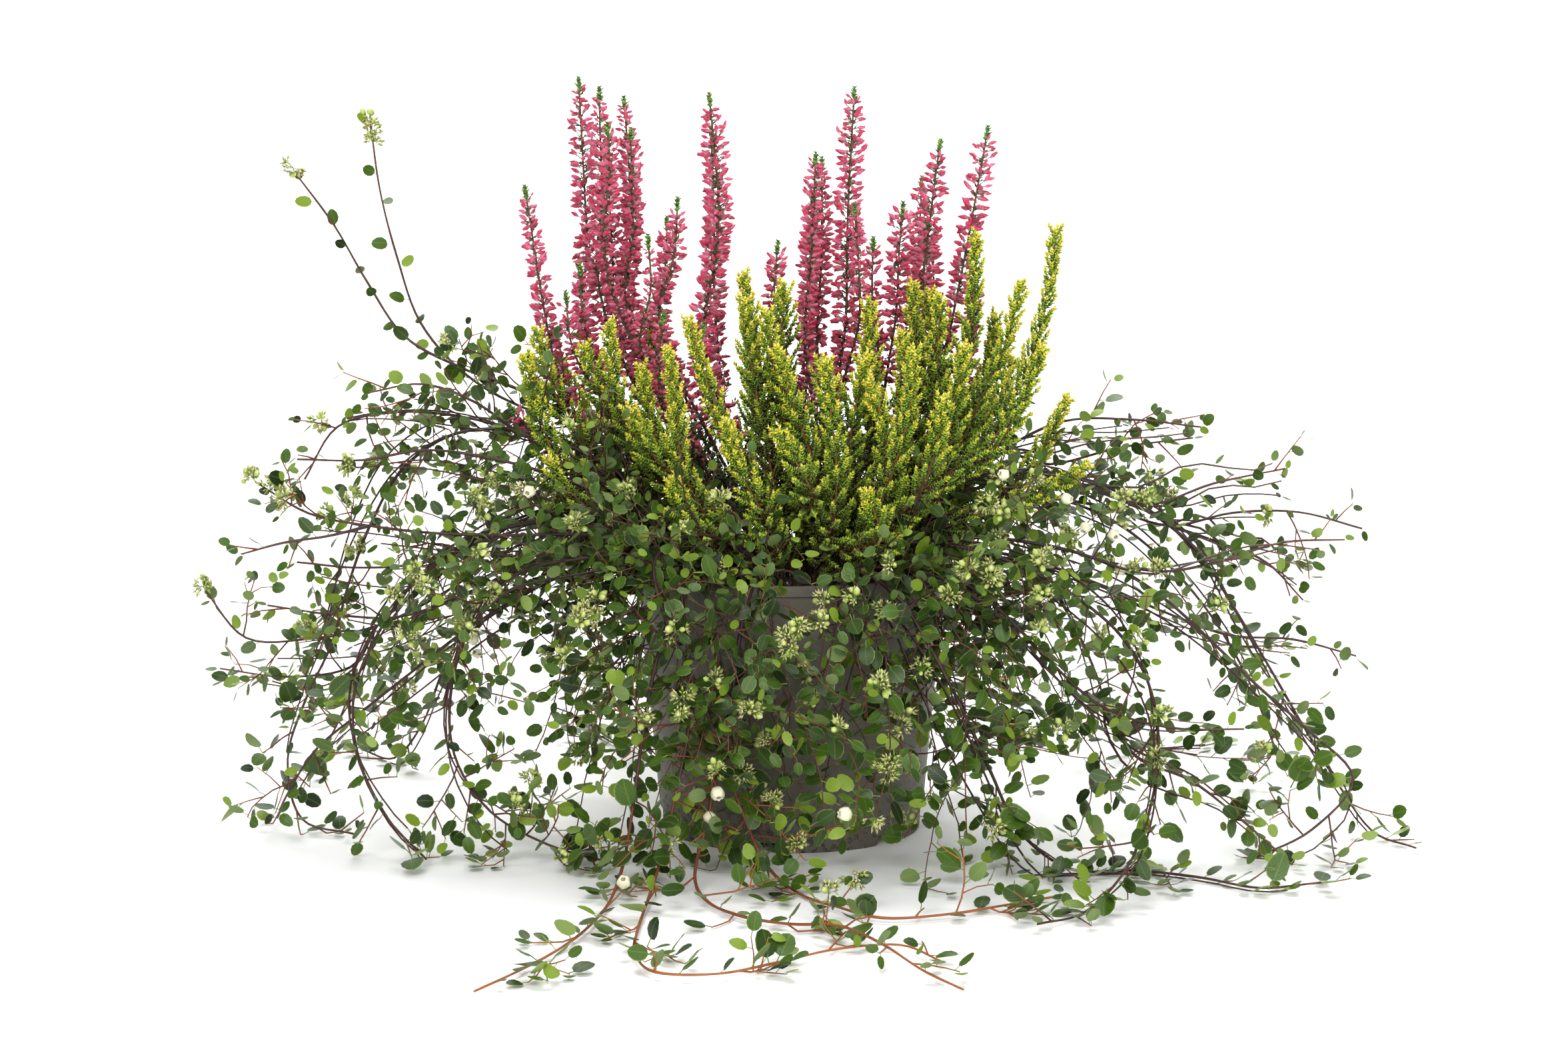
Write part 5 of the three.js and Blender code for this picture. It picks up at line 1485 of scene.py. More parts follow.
class Vine:
    """The stems and leaves that grow on one vine node's routes."""

    def __init__(self, routes, look, chance):
        self.node = routes[0].node
        self.look = look
        self.chance = chance
        self.lines, self.fine_lines = [], []
        self.tips, self.mains, self.twigs = [], [], []
        self.leaves = Copies()
        usual = RIGHT_FULLNESS if side_of(routes) == "right" else 1.0
        self.fullness = FULLNESS.get(self.node, usual)
        for route in routes:
            self.grow_main(route)

    def grow_main(self, route):
        look, chance = self.look, self.chance
        strand = strand_of(route, VINE_SAMPLES)
        share = strand.lengths / strand.length
        orange = self.node in ORANGE_RUNNERS
        foot, tip = TRUNK_RADII if route.parent is None else BRANCH_RADII
        wobble = 1 + 0.08 * np.sin(strand.lengths / (6 * MM) + chance.uniform(0, 6))
        shade = 0.1 + 0.42 * share if route.parent is None else 0.22 + 0.4 * share
        if orange:
            shade = np.clip(shade + 0.45 * (1 - strand.points[:, 2] / ORANGE_BELOW).clip(0.1, 1), 0, 0.95)
        radii = (foot + (tip - foot) * share) * wobble * MM
        self.lines.append((strand.points, radii, on_map(shade)))
        self.mains.append(strand)
        self.twigs.append(strand)
        distance = 12 * MM
        turn = chance.uniform(0, TURN)
        while distance < strand.length:
            place, way, out = (values[0] for values in strand.around(distance, turn))
            reach = hypot(place[0], place[1])
            far = np.clip((reach - NEAR_POT) / FAR_SPAN, 0, 1)
            height = place[2]
            inside = reach < POT_RIM_RADIUS * MM and height < (POT_HEIGHT + 3) * MM
            bare = height > SPARSE_ABOVE.get(self.node, 1.0)
            if not inside and not bare:
                long = chance.uniform(0.45, 1.25) * look.side_stem_length * (1 - 0.4 * far)
                long *= 0.6 + 0.4 * min(1.0, (strand.length - distance) / (30 * MM))
                here = float(np.interp(distance, strand.lengths, shade))
                self.grow_side(place, way, out, long, here + 0.08, 1)
            spacing = look.side_stem_spacing * (1 + 1.1 * far) / self.fullness
            if orange:
                spacing *= 1 + far
            distance += spacing * chance.uniform(0.6, 1.4)
            turn += GOLDEN_ANGLE + chance.normal(0, 0.4)
        sparse = 2.2 if orange or route.parent is None else 1.35
        first = 10 * MM if route.parent is None else 3 * MM
        self.add_leaves(strand, first, sparse)
        if not orange and self.node not in SPARSE_ABOVE and strand.length > 70 * MM:
            for _ in range(COMPANIONS):
                self.grow_companion(strand, shade[0])

    def grow_companion(self, strand, shade):
        """A thinner stem that follows a main one in its own slow bends."""
        chance = self.chance
        share = np.linspace(0, chance.uniform(0.72, 1.0), max(8, len(strand.points) // 2))
        points = strand.at(share * strand.length)[0]
        first, second = unit(chance.normal(0, 1, (2, 3)))
        bow = np.sin(pi * share**0.7) * chance.uniform(0.7, 1.5)
        wave = np.sin(TURN * share * chance.uniform(1.2, 2.2)) * chance.uniform(0.3, 0.7)
        points = points + COMPANION_BOW * (bow[:, None] * first + wave[:, None] * second)
        points[:, 2] -= COMPANION_BOW * share * chance.uniform(-0.5, 1.5)
        points = np.array([clear_spot(point) for point in points])
        inside = np.array([inside_solids(point) for point in points])
        points = points[:len(points) if inside.all() else int(np.argmin(inside))]
        if len(points) < 6:
            return
        stem = Strand(points)
        share = stem.lengths / stem.length
        self.fine_lines.append((points, (0.68 - 0.3 * share) * MM, on_map(shade + 0.4 * share)))
        self.twigs.append(stem)
        self.tips.append((points[-1], stem.ways[-1]))
        self.add_leaves(stem, 12 * MM, 2.3)

    def grow_side(self, place, way, out, long, shade, level, hang=0.0):
        """A fine stem that leaves another, wanders, droops a little and keeps clear of the pot and floor."""
        chance = self.chance
        facing = way * chance.uniform(0.3, 0.8) + out * 0.85
        facing = unit(facing + np.array([0, 0, chance.normal(0.06, 0.25)]))
        droop = chance.normal(-0.05, 0.09) - hang
        curl = unit(chance.normal(0, 1, 3)) * 0.16
        points = [place]
        for _ in range(max(2, int(long / TWIG_STEP))):
            facing = unit(facing + curl + np.array([0, 0, droop]) + chance.normal(0, 0.1, 3))
            point = clear_spot(points[-1] + facing * TWIG_STEP)
            if not inside_solids(point):
                break
            facing = unit(point - points[-1])
            points.append(point)
        if len(points) < 3:
            return
        points = np.array(points)
        stem = Strand(points)
        share = stem.lengths / stem.length
        radii = (0.46 - 0.17 * share) * MM / (1 + 0.25 * (level - 1))
        self.fine_lines.append((points, radii, on_map(np.clip(shade + 0.25 * share, 0, 0.95))))
        self.twigs.append(stem)
        self.tips.append((points[-1], facing))
        self.add_leaves(stem, 3 * MM, 1.0)
        if level == 1 and stem.length > 20 * MM:
            for _ in range(chance.integers(2, 5) + int(stem.length / (70 * MM))):
                distance = stem.length * chance.uniform(0.2, 0.85)
                spot, way, out = (v[0] for v in stem.around(distance, chance.uniform(0, TURN)))
                self.grow_side(spot, way, out, long * chance.uniform(0.35, 0.6), shade + 0.1, 2)

    def add_leaves(self, strand, first, sparse):
        """Leaves left and right in turn along a stem, facing up and outwards, smaller near its tip."""
        look, chance = self.look, self.chance
        high = strand.points[-1][2] > SPARSE_ABOVE.get(self.node, 1.0)
        gaps = look.leaf_spacing * (1.9 if high else sparse) * chance.uniform(0.65, 1.35, MOST_LEAVES)
        distances = first + np.cumsum(gaps)
        distances = distances[distances < strand.length - 0.5 * MM]
        if strand.length > 6 * MM:
            distances = np.append(distances, strand.length - 0.3 * MM)
        count = len(distances)
        if count == 0:
            return
        turns = chance.uniform(0, TURN) + np.arange(count) * pi + chance.normal(0, 0.6, count)
        place, way, out = strand.around(distances, turns)
        reach = np.hypot(place[:, 0], place[:, 1])
        kept = ~((reach < POT_RIM_RADIUS * MM) & (place[:, 2] < (POT_HEIGHT + 1) * MM))
        crown = (reach < CROWN_REACH) & (place[:, 2] > (POT_HEIGHT + CROWN_RISE) * MM)
        crown &= place[:, 1] < CROWN_BACK
        kept &= ~(crown & (chance.random(count) > CROWN_LEAVES))
        before_pot = (np.abs(place[:, 0]) < POT_FRONT_HALF) & (place[:, 1] < POT_FRONT_FROM)
        before_pot &= place[:, 2] < POT_HEIGHT * MM
        kept &= ~(before_pot & (chance.random(count) > POT_FRONT_LEAVES))
        outward = unit(np.column_stack([place[:, 0], place[:, 1], np.full(count, 0.02)]))
        facing = unit(out * 0.8 + way * chance.uniform(0.2, 0.7, (count, 1)) + outward * 0.25
                      + np.array([0, 0, 1]) * chance.normal(0.05, 0.3, (count, 1)))
        normal = unit(outward * chance.uniform(0.1, 1.0, (count, 1)) + np.array([0, -0.25, 0.6])
                      + chance.normal(0, 0.55, (count, 3)))
        low = place[:, 2] < FLAT_BELOW
        facing[low, 2] = 0.08 + 0.6 * np.abs(facing[low, 2])
        normal[low] = normal[low] * 0.25 + (0, 0, 0.8)
        if high:
            normal = unit(normal * 0.5 + (0, -1.0, 0.3))
        along = distances / strand.length
        long = look.leaf_length * (1 - 0.38 * along) * chance.uniform(0.72, 1.22, count)
        long = long * (1.2 if high else 1.0)
        swell = np.clip((SWELL_BELOW - place[:, 2]) / SWELL_SPAN, 0, 1)
        long = long * (1 + LOW_LEAF_SWELL * swell)
        tone = np.clip(chance.normal(1.0 + 1.1 * along, 0.8, count), 0, VINE_TONES - 1).round()
        shape = chance.integers(0, VINE_SHAPES, count)
        tip = place + facing * long[:, None]
        wall = wall_radius(tip[:, 2] / MM) * MM + LEAF_WALL_GAP
        kept &= ~((tip[:, 2] < POT_HEIGHT * MM) & (np.hypot(tip[:, 0], tip[:, 1]) < wall))
        kept &= tip[:, 2] > 1 * MM
        kind = tone * VINE_SHAPES + shape
        self.leaves.add(place[kept], facing[kept], normal[kept], long[kept, None], kind[kept])


def clear_spot(point):
    """The nearest place to a point that is off the pot and above the floor."""
    millimetres = (point / MM)[None].copy()
    clear_of_pot(millimetres, np.array([0.6]))
    return millimetres[0] * MM


def inside_solids(point):
    """Whether a point is well below the top and within the sides of the box that the solids fill."""
    below = all(point[k] < CAD_HIGH[k] - BOX_MARGIN for k in range(3))
    return below and all(CAD_LOW[k] + BOX_MARGIN < point[k] for k in range(2))


@cache
def wire_vine_growth():
    look = bpy.context.scene.wire_vine
    chance = np.random.default_rng(look.seed)
    vines = [Vine(routes, look, chance) for routes in plant_routes()[2]]
    hang_over_rim(vines, look, chance)
    add_large_leaves(vines, chance)
    return vines


def add_large_leaves(vines, chance):
    """The few big leaves low on the right."""
    owners = [vine for vine in vines for _ in vine.twigs]
    for place, _, owner in front_stem_at(LARGE_LEAF_SPOTS, vines):
        place = place + np.array([0, -1.0, 1.0]) * MM
        facing = unit(chance.normal(0, 0.5, 3) + np.array([0, -0.3, 0.5]))
        normal = unit(chance.normal(0, 0.3, 3) + np.array([0, -0.8, 0.5]))
        size = np.full((1, 3), LARGE_LEAF_LENGTH * chance.uniform(0.8, 1.05))
        kind = chance.integers(1, 3) * VINE_SHAPES + chance.integers(0, 2)
        owners[owner].leaves.add(place[None], facing[None], normal[None], size, kind)


def hang_over_rim(vines, look, chance):
    """Stems that leave the vine nearest to each place round the rim and hang down over the pot."""
    mains = [(vine, strand) for vine in vines for strand in vine.mains]
    points = np.concatenate([strand.points for vine, strand in mains])
    owners = np.repeat(np.arange(len(mains)), [len(strand.points) for vine, strand in mains])
    even = np.arange(look.hanging_stems) * TURN / look.hanging_stems
    front = np.linspace(pi * 1.42, pi * 1.87, FRONT_STEMS)
    for turn in np.concatenate([even, front]):
        turn += chance.normal(0, 0.08)
        out = np.array([cos(turn), sin(turn), 0])
        target = out * (POT_RIM_RADIUS * MM + 3 * MM) + np.array([0, 0, POT_HEIGHT * MM + 6 * MM])
        away = np.linalg.norm(points - target, axis=1)
        nearest = int(np.argmin(away + 1.0 * (points[:, 2] < POT_HEIGHT * MM)))
        vine = mains[owners[nearest]][0]
        facing = unit(target - points[nearest] + out * (12 * MM))
        long = chance.uniform(0.5, 1.5) * look.hanging_length * (1.0 + 0.25 * (out[1] < -0.3))
        vine.grow_side(points[nearest], facing, out, long, 0.35, 1, HANG_DROOP * chance.uniform(0.5, 1.2))


def side_of(vine_routes_of_one):
    """Which quarter of the plant a vine's leaves are in: left, right, front or back."""
    ends = np.concatenate([route.points[-2:] for route in vine_routes_of_one])
    x, y = ends[:, 0].mean(), ends[:, 1].mean()
    if abs(x) > abs(y):
        return "left" if x < 0 else "right"
    return "front" if y < 0 else "back"


# Pot and soil


def finished_mesh(name, shell):
    bmesh.ops.recalc_face_normals(shell, faces=shell.faces)
    mesh = bpy.data.meshes.new(name)
    shell.to_mesh(mesh)
    shell.free()
    return mesh


def turned_mesh(name, profile, segments):
    """A closed shell turned round Z from a profile that starts and ends on the axis."""
    shell = bmesh.new()
    rings = []
    for radius, height in profile:
        if radius == 0:
            rings.append([shell.verts.new((0, 0, height))] * segments)
            continue
        angles = (TURN * k / segments for k in range(segments))
        rings.append([shell.verts.new((radius * cos(a), radius * sin(a), height)) for a in angles])
    for low, high in zip(rings, rings[1:]):
        for k in range(segments):
            after = (k + 1) % segments
            corners = dict.fromkeys((low[k], low[after], high[after], high[k]))
            shell.faces.new(list(corners))
    return finished_mesh(name, shell)


def rounded(profile, radius):
    """A profile with each inner corner cut to a short curve of this radius at most."""
    profile = [np.asarray(p, float) for p in profile]
    made = [profile[0]]
    for before, corner, after in zip(profile, profile[1:], profile[2:]):
        arms = [before - corner, after - corner]
        reach = [min(radius, np.linalg.norm(arm) * 0.45) for arm in arms]
        first, last = (corner + unit(arm) * r for arm, r in zip(arms, reach))
        made.append(first)
        made.extend((1 - t) ** 2 * first + 2 * t * (1 - t) * corner + t * t * last for t in (0.33, 0.67))
        made.append(last)
    made.append(profile[-1])
    return made


def pot_profile():
    band_foot = POT_HEIGHT - POT_RIM_BAND
    return [
        (0, 0),
        (PAD_RADIUS, 0),
        (PAD_RADIUS + 1.5, FLOOR_LIFT),
        (FOOT_RADIUS - FOOT_WALL - 1, FLOOR_LIFT),
        (FOOT_RADIUS - FOOT_WALL, 0),
        (FOOT_RADIUS - 0.5, 0),
        (FOOT_RADIUS, FOOT_HEIGHT - 1),
        (WALL_FOOT, FOOT_HEIGHT),
        (WALL_TOP, band_foot),
        (POT_RIM_RADIUS, band_foot + 0.3),
        (POT_RIM_RADIUS, POT_HEIGHT - 0.2),
        (POT_RIM_RADIUS - 0.5, POT_HEIGHT),
        (WALL_TOP - POT_WALL, POT_HEIGHT),
        (wall_radius(KNEE_HEIGHT) - POT_WALL, KNEE_HEIGHT),
        (INNER_FOOT - 2, FLOOR_LIFT + POT_WALL),
        (PAD_RADIUS + 2.5, FLOOR_LIFT + POT_WALL),
        (PAD_RADIUS + 1, POT_WALL),
        (0, POT_WALL),
    ]


def notch_cutter():
    """All the cut-outs of the foot and the drain holes between them, as one mesh."""
    tool = bmesh.new()
    for k in range(NOTCH_COUNT):
        turn = (k + NOTCH_START) * TURN / NOTCH_COUNT
        place = Matrix.Rotation(turn, 4, "Z") @ Matrix.Translation((FOOT_RADIUS, 0, 0))
        block = bmesh.ops.create_cube(tool, size=1.0)["verts"]
        bmesh.ops.scale(tool, vec=(12, NOTCH_WIDTH, 2 * NOTCH_HEIGHT), verts=block)
        for corner in block:
            if corner.co.z > 0:
                corner.co.y *= 0.86
        bmesh.ops.transform(tool, matrix=place, verts=block)
        drain_turn = turn + pi / NOTCH_COUNT
        place = Matrix.Rotation(drain_turn, 4, "Z") @ Matrix.Translation((DRAIN_PLACE, 0, 0))
        bmesh.ops.create_cone(tool, cap_ends=True, segments=24, radius1=DRAIN_RADIUS, radius2=DRAIN_RADIUS,
                              depth=4 * FLOOR_LIFT, matrix=place)
    return finished_mesh("notch_cutter", tool)


def make_pot():
    look = bpy.context.scene.nursery_pot
    profile = rounded(pot_profile(), 0.35)
    pot = add_object("nursery_pot", turned_mesh("nursery_pot", profile, look.segments))
    cutter = add_object("notch_cutter", notch_cutter())
    cut = pot.modifiers.new("Cut", "BOOLEAN")
    cut.object = cutter
    cut.operation = "DIFFERENCE"
    cut.solver = "EXACT"
    settle(pot)
    bpy.data.meshes.remove(cutter.data)
    pot.data.transform(Matrix.Scale(MM, 4))
    smooth(pot.data, 38)
    pot.data.materials.clear()
    pot.data.materials.append(pot_finish())
    declare(pot, ["pot"])


def soil_height(x, y):
    return 1.3 * (sin(x * 0.21 + 1) * cos(y * 0.17) + 0.4 * sin(x * 0.09 - y * 0.13))


def make_soil():
    look = bpy.context.scene.peat_soil
    knee = wall_radius(KNEE_HEIGHT) - POT_WALL - FIT_GAP
    share = (SOIL_TOP - KNEE_HEIGHT) / (POT_HEIGHT - KNEE_HEIGHT)
    top = knee + (WALL_TOP - POT_WALL - FIT_GAP - knee) * share
    edges = np.linspace(top, 0, 40)
    profile = [
        (0, POT_WALL + FIT_GAP),
        (PAD_RADIUS + 1 - FIT_GAP, POT_WALL + FIT_GAP),
        (PAD_RADIUS + 2.5 - FIT_GAP, FLOOR_LIFT + POT_WALL + FIT_GAP),
        (INNER_FOOT - 2 - FIT_GAP, FLOOR_LIFT + POT_WALL + FIT_GAP),
        (knee, KNEE_HEIGHT),
        *[(float(radius), SOIL_TOP) for radius in edges],
    ]
    mesh = turned_mesh("peat_soil", profile, 100)
    for vertex in mesh.vertices:
        x, y, z = vertex.co
        if z < SOIL_TOP - 0.01:
            continue
        rough = noise.fractal(Vector((x, y, 3.0)) * 0.16, 0.9, 2.1, 5)
        fine = noise.fractal(Vector((x, y, 7.0)) * 0.6, 0.8, 2.0, 3)
        edge = min(1.0, (top - hypot(x, y)) / 4)
        vertex.co.z += soil_height(x, y) * edge + (rough * 1.1 + fine * 0.45) * edge
    mesh.transform(Matrix.Scale(MM, 4))
    smooth(mesh, 60)
    soil = add_object("peat_soil", mesh)
    mesh.materials.append(soil_finish())
    declare(soil, ["soil"])
    kinds = crumb_kinds(look.seed)
    crumbs = add_object("peat_crumbs", mesh.copy())
    crumbs.data.materials.clear()
    grown(crumbs, crumb_tree(), pieces=kinds.collection, density=look.crumb_density * 1e6,
          spacing=look.crumb_spacing, smallest=look.smallest_crumb, largest=look.largest_crumb,
          seed=look.seed, material=crumb_finish())
    kinds.clear()
    declare(crumbs, ["soil"])


def crumb_kinds(seed):
    """Rough crumbs: squashed and dented icosahedra. The last tone is the few white grains."""
    chance = np.random.default_rng(seed)
    kinds = Kinds("crumb_kind", 2, 3)
    for tone in range(3):
        for column in range(2):
            ball = bmesh.new()
            bmesh.ops.create_icosphere(ball, subdivisions=1, radius=0.5)
            for vertex in ball.verts:
                vertex.co *= chance.uniform(0.6, 1.1)
                vertex.co.z *= 0.7
            vertices = [tuple(vertex.co) for vertex in ball.verts]
            faces = [tuple(vertex.index for vertex in face.verts) for face in ball.faces]
            ball.free()
            uvs = [(vertices[k][0] + 0.5, vertices[k][1] + 0.5) for face in faces for k in face]
            kinds.add((vertices, faces, np.clip(uvs, 0, 1)), tone, column)
    return kinds


def crumb_tree():
    """Crumbs of random kinds and sizes, strewn over the upper faces."""
    tree = Tree("Crumbs on the soil", [
        ("Pieces", "Collection", None), ("Density", "Float", 100000.0), ("Spacing", "Float", 0.001),
        ("Smallest", "Float", 0.0006), ("Largest", "Float", 0.003), ("Seed", "Int", 0),
        ("Material", "Material", None),
    ])
    seed = tree.inputs["Seed"]
    height = tree.node("ShaderNodeSeparateXYZ", [(0, tree.node("GeometryNodeInputPosition")[0])])[2]
    upward = tree.node("ShaderNodeSeparateXYZ", [(0, tree.node("GeometryNodeInputNormal")[0])])[2]
    high = tree.math("GREATER_THAN", height, (SOIL_TOP - 3) * MM)
    top = tree.times(high, tree.math("GREATER_THAN", upward, 0.4))
    spots = tree.node("GeometryNodeDistributePointsOnFaces", [
        ("Mesh", tree.inputs["Geometry"]), ("Selection", top), ("Distance Min", tree.inputs["Spacing"]),
        ("Density Max", tree.inputs["Density"]), ("Seed", seed),
    ], distribute_method="POISSON")[0]
    kind = tree.math("FLOOR", tree.times(tree.math("POWER", tree.chance(0.0, 1.0, seed), 1.5), 4.4))
    index = tree.node("GeometryNodeInputIndex")[0]
    size = tree.chance(tree.inputs["Smallest"], tree.inputs["Largest"], 7, ("ID", index))
    turn = tree.node("FunctionNodeRandomValue", [(0, (0, 0, 0)), (1, (6.28, 6.28, 6.28)), ("Seed", 9)],
                     data_type="FLOAT_VECTOR")[0]
    return tree.place_pieces(spots, kind, turn, size)


# Flowers and fruits of the wire vine

CAMERA_PLACE = (-0.00315, -1.6, 0.369)
CAMERA_PITCH = radians(8.56)
CAMERA_LENS = 89.33
SENSOR_WIDTH = 36
PICTURE_SIZE = (2353, 1568)
SPOT_REACH = 18.0

# Where clusters of flowers and single fruits show, across and down the picture

FLOWER_SPOTS = [
    (1165, 960), (1220, 935), (1195, 950), (1180, 975), (1115, 1080), (1010, 1080), (980, 1090),
    (1030, 1040), (1300, 895), (1315, 915), (1315, 1035), (1330, 1040), (1355, 1075), (1370, 1010),
    (1365, 1095), (1250, 1115), (1235, 1060), (1200, 1020), (1140, 1100), (1080, 1145), (1120, 1165),
    (1145, 1190), (1165, 1208), (1320, 1145), (1340, 1170), (1425, 910), (860, 930), (885, 915), (810, 985),
    (900, 1000), (860, 1145), (820, 1165), (1030, 950), (1380, 1245), (1480, 780), (1520, 780), (1505, 810),
    (1560, 825), (1600, 805), (1545, 850), (1480, 870), (1440, 870), (1420, 915), (1560, 895), (1650, 865),
    (1690, 760), (1720, 850), (1715, 870), (1745, 810), (1690, 790), (1560, 950), (1610, 1105), (1540, 1110),
    (1730, 1130), (1740, 1075), (1330, 790), (1340, 845), (1500, 740), (1490, 1260), (1830, 905),
    (1900, 1150), (735, 735), (755, 740), (720, 758), (715, 778), (700, 940), (640, 865), (730, 840),
    (730, 885), (640, 1010), (610, 960), (530, 700), (440, 770), (435, 750), (385, 705), (400, 730),
    (305, 890), (530, 835), (590, 890), (880, 800), (890, 890), (840, 980), (555, 185), (556, 205),
    (558, 235), (440, 258), (530, 740), (495, 640), (1175, 1290), (1245, 1320), (1270, 1310), (900, 1255),
    (860, 1290), (1000, 1260),
]
LARGE_LEAF_SPOTS = [
    (1870, 1175), (1895, 1165), (1925, 1185), (1950, 1205), (1912, 1210), (1872, 1212), (1995, 1140),
    (1985, 1185), (1845, 1260), (1815, 1275), (1895, 1350), (1480, 1240), (1670, 1345), (1190, 1315),
    (1280, 1365), (1150, 1320), (870, 1280), (935, 1215), (800, 1300), (570, 1340), (440, 1075), (480, 1060),
]
FRUIT_SPOTS = [
    (802, 727), (722, 975), (718, 993), (1575, 758), (1635, 775), (1650, 797), (1672, 828), (1520, 708),
    (1295, 1218), (1048, 1205), (1090, 1175), (938, 1340),
]


def on_picture(points):
    """How far across and down the picture these places are, and how far from the camera."""
    offset = np.asarray(points) - CAMERA_PLACE
    depth = offset[:, 1] * cos(CAMERA_PITCH) - offset[:, 2] * sin(CAMERA_PITCH)
    height = offset[:, 1] * sin(CAMERA_PITCH) + offset[:, 2] * cos(CAMERA_PITCH)
    scale = CAMERA_LENS / SENSOR_WIDTH * PICTURE_SIZE[0] / depth
    across = PICTURE_SIZE[0] / 2 + offset[:, 0] * scale
    return np.stack([across, PICTURE_SIZE[1] / 2 - height * scale], axis=1), depth


def front_stem_at(spots, vines):
    """For each spot of the picture the stem place in front there, its direction and its stem's number."""
    strands = [strand for vine in vines for strand in vine.twigs]
    points = np.concatenate([strand.points for strand in strands])
    ways = np.concatenate([strand.ways for strand in strands])
    owners = np.repeat(np.arange(len(strands)), [len(strand.points) for strand in strands])
    seen, depth = on_picture(points)
    found = []
    for spot in spots:
        away = np.linalg.norm(seen - spot, axis=1)
        near = away < max(SPOT_REACH, away.min() + 4)
        best = np.nonzero(near)[0][np.argmin(depth[near])]
        found.append((points[best], ways[best], owners[best]))
    return found


def star_flower(spread):
    """Five narrow petals round a knob, opening along X."""
    parts = []
    for k in range(5):
        a = TURN * k / 5
        outward = np.array([0, cos(a), sin(a)])
        base = np.array([0.3, 0, 0]) + outward * 0.1
        tip = np.array([0.95 - 0.35 * spread, 0, 0]) + outward * (0.3 + 0.3 * spread)
        parts.append(blade(base, tip, 0.17, 0.06, up=(1, 0, 0) - outward * 0.4))
    parts.append(blade((0, 0, 0.06), (0.62, 0, 0.06), 0.14, 0.18))
    return together(parts)


def flower_bud():
    """A small egg of six sides for a flower that isn't open."""
    rings = ((0.0, 0.08), (0.25, 0.34), (0.6, 0.36))
    angles = [k * pi / 3 for k in range(6)]
    vertices = [(x, radius * cos(a), radius * sin(a)) for x, radius in rings for a in angles]
    faces, uvs = ring_walls(3, 6, lambda turn, ring: (turn, rings[ring][0]))
    vertices.append((0.92, 0, 0))
    for k in range(6):
        faces.append((12 + k, 12 + (k + 1) % 6, 18))
        uvs.extend([(k / 6, 0.6), ((k + 1) / 6, 0.6), ((k + 0.5) / 6, 1.0)])
    faces.append((5, 4, 3, 2, 1, 0))
    uvs.extend([(0.5, 0.02)] * 6)
    return vertices, faces, uvs


def flower_kinds():
    kinds = Kinds("flower_kind", 2, 4)
    for tone in range(3):
        kinds.add(star_flower(1.0), tone, 0)
        kinds.add(star_flower(0.35), tone, 1)
    kinds.add(flower_bud(), 3, 0)
    kinds.add(flower_bud(), 3, 1)
    return kinds


def fruit_shape(segments=15):
    """A fleshy cup of five lobes with a hollow top, one unit long."""
    outer = ((0.0, 0.08), (0.1, 0.3), (0.34, 0.47), (0.62, 0.46), (0.86, 0.34), (0.97, 0.22))
    inner = ((0.9, 0.17), (0.72, 0.2))
    vertices = []
    for x, radius in outer + inner:
        for k in range(segments):
            a = TURN * k / segments
            lobe = 1 + 0.11 * cos(5 * a)
            rise = 0.05 * cos(5 * a) * (x > 0.8)
            vertices.append((x + rise, radius * lobe * cos(a), radius * lobe * sin(a)))
    rings = len(outer) + len(inner)
    faces, uvs = ring_walls(rings, segments, lambda turn, ring: (turn, 0.05 + 0.9 * ring / (rings - 1)))
    faces.append(tuple(range(segments))[::-1])
    uvs.extend([(0.5, 0.03)] * segments)
    faces.append(tuple(range((rings - 1) * segments, rings * segments)))
    uvs.extend([(0.5, 0.98)] * segments)
    return vertices, faces, uvs


def make_vine_flowers():
    look = bpy.context.scene.wire_vine
    chance = np.random.default_rng(look.seed + 1)
    vines = wire_vine_growth()
    flowers, stalks = Copies(), []
    places = front_stem_at(FLOWER_SPOTS, vines)
    for vine in vines:
        for place, way in vine.tips:
            if place[2] > 0.02 and chance.random() < look.flowering_share:
                places.append((place, way, 0))
    for place, way, _ in places:
        add_flower_cluster(np.asarray(place), way, look, chance, flowers, stalks)
    kinds = flower_kinds()
    tones = ("#C6CB7C", "#DCDB96", "#B5C268", "#AEBD60")
    finish = small_flower_finish("Vine flowers", tones, "#F0EBBE", "#8BA24A")
    grow_copies("vine_flowers", flowers.within_box(), kinds, finish, look, VINE_NODES)
    kinds.clear()
    fruits = Copies()
    for place, way, _ in front_stem_at(FRUIT_SPOTS, vines):
        facing = unit(chance.normal(0, 0.5, 3) + np.array([0, -0.55, 0.1]))
        stalk = place + facing * (1.6 * MM)
        stalks.append((np.array([place, stalk]), np.array([0.22, 0.18]) * MM, on_map([0.7, 0.4])))
        fruits.add(stalk[None], facing[None], unit(chance.normal(0, 1, 3))[None], look.fruit_length, 0)
    kinds = Kinds("fruit_kind", 2, 2)
    for row in range(2):
        for column in range(2):
            kinds.add(fruit_shape(), row, column)
    finish = small_flower_finish("Vine fruit flesh", ("#E9E4C6", "#E2DCB0"), "#F2EFE0", "#B7BF78", "#6E5A36")
    grow_copies("vine_fruits", fruits.within_box(), kinds, finish, look, VINE_NODES)
    kinds.clear()
    finish = stem_finish("Flower stalks", ("#8FA65A", "#8A5A38"))
    grow_stems("vine_flower_stalks", stalks, finish, 3, VINE_NODES)


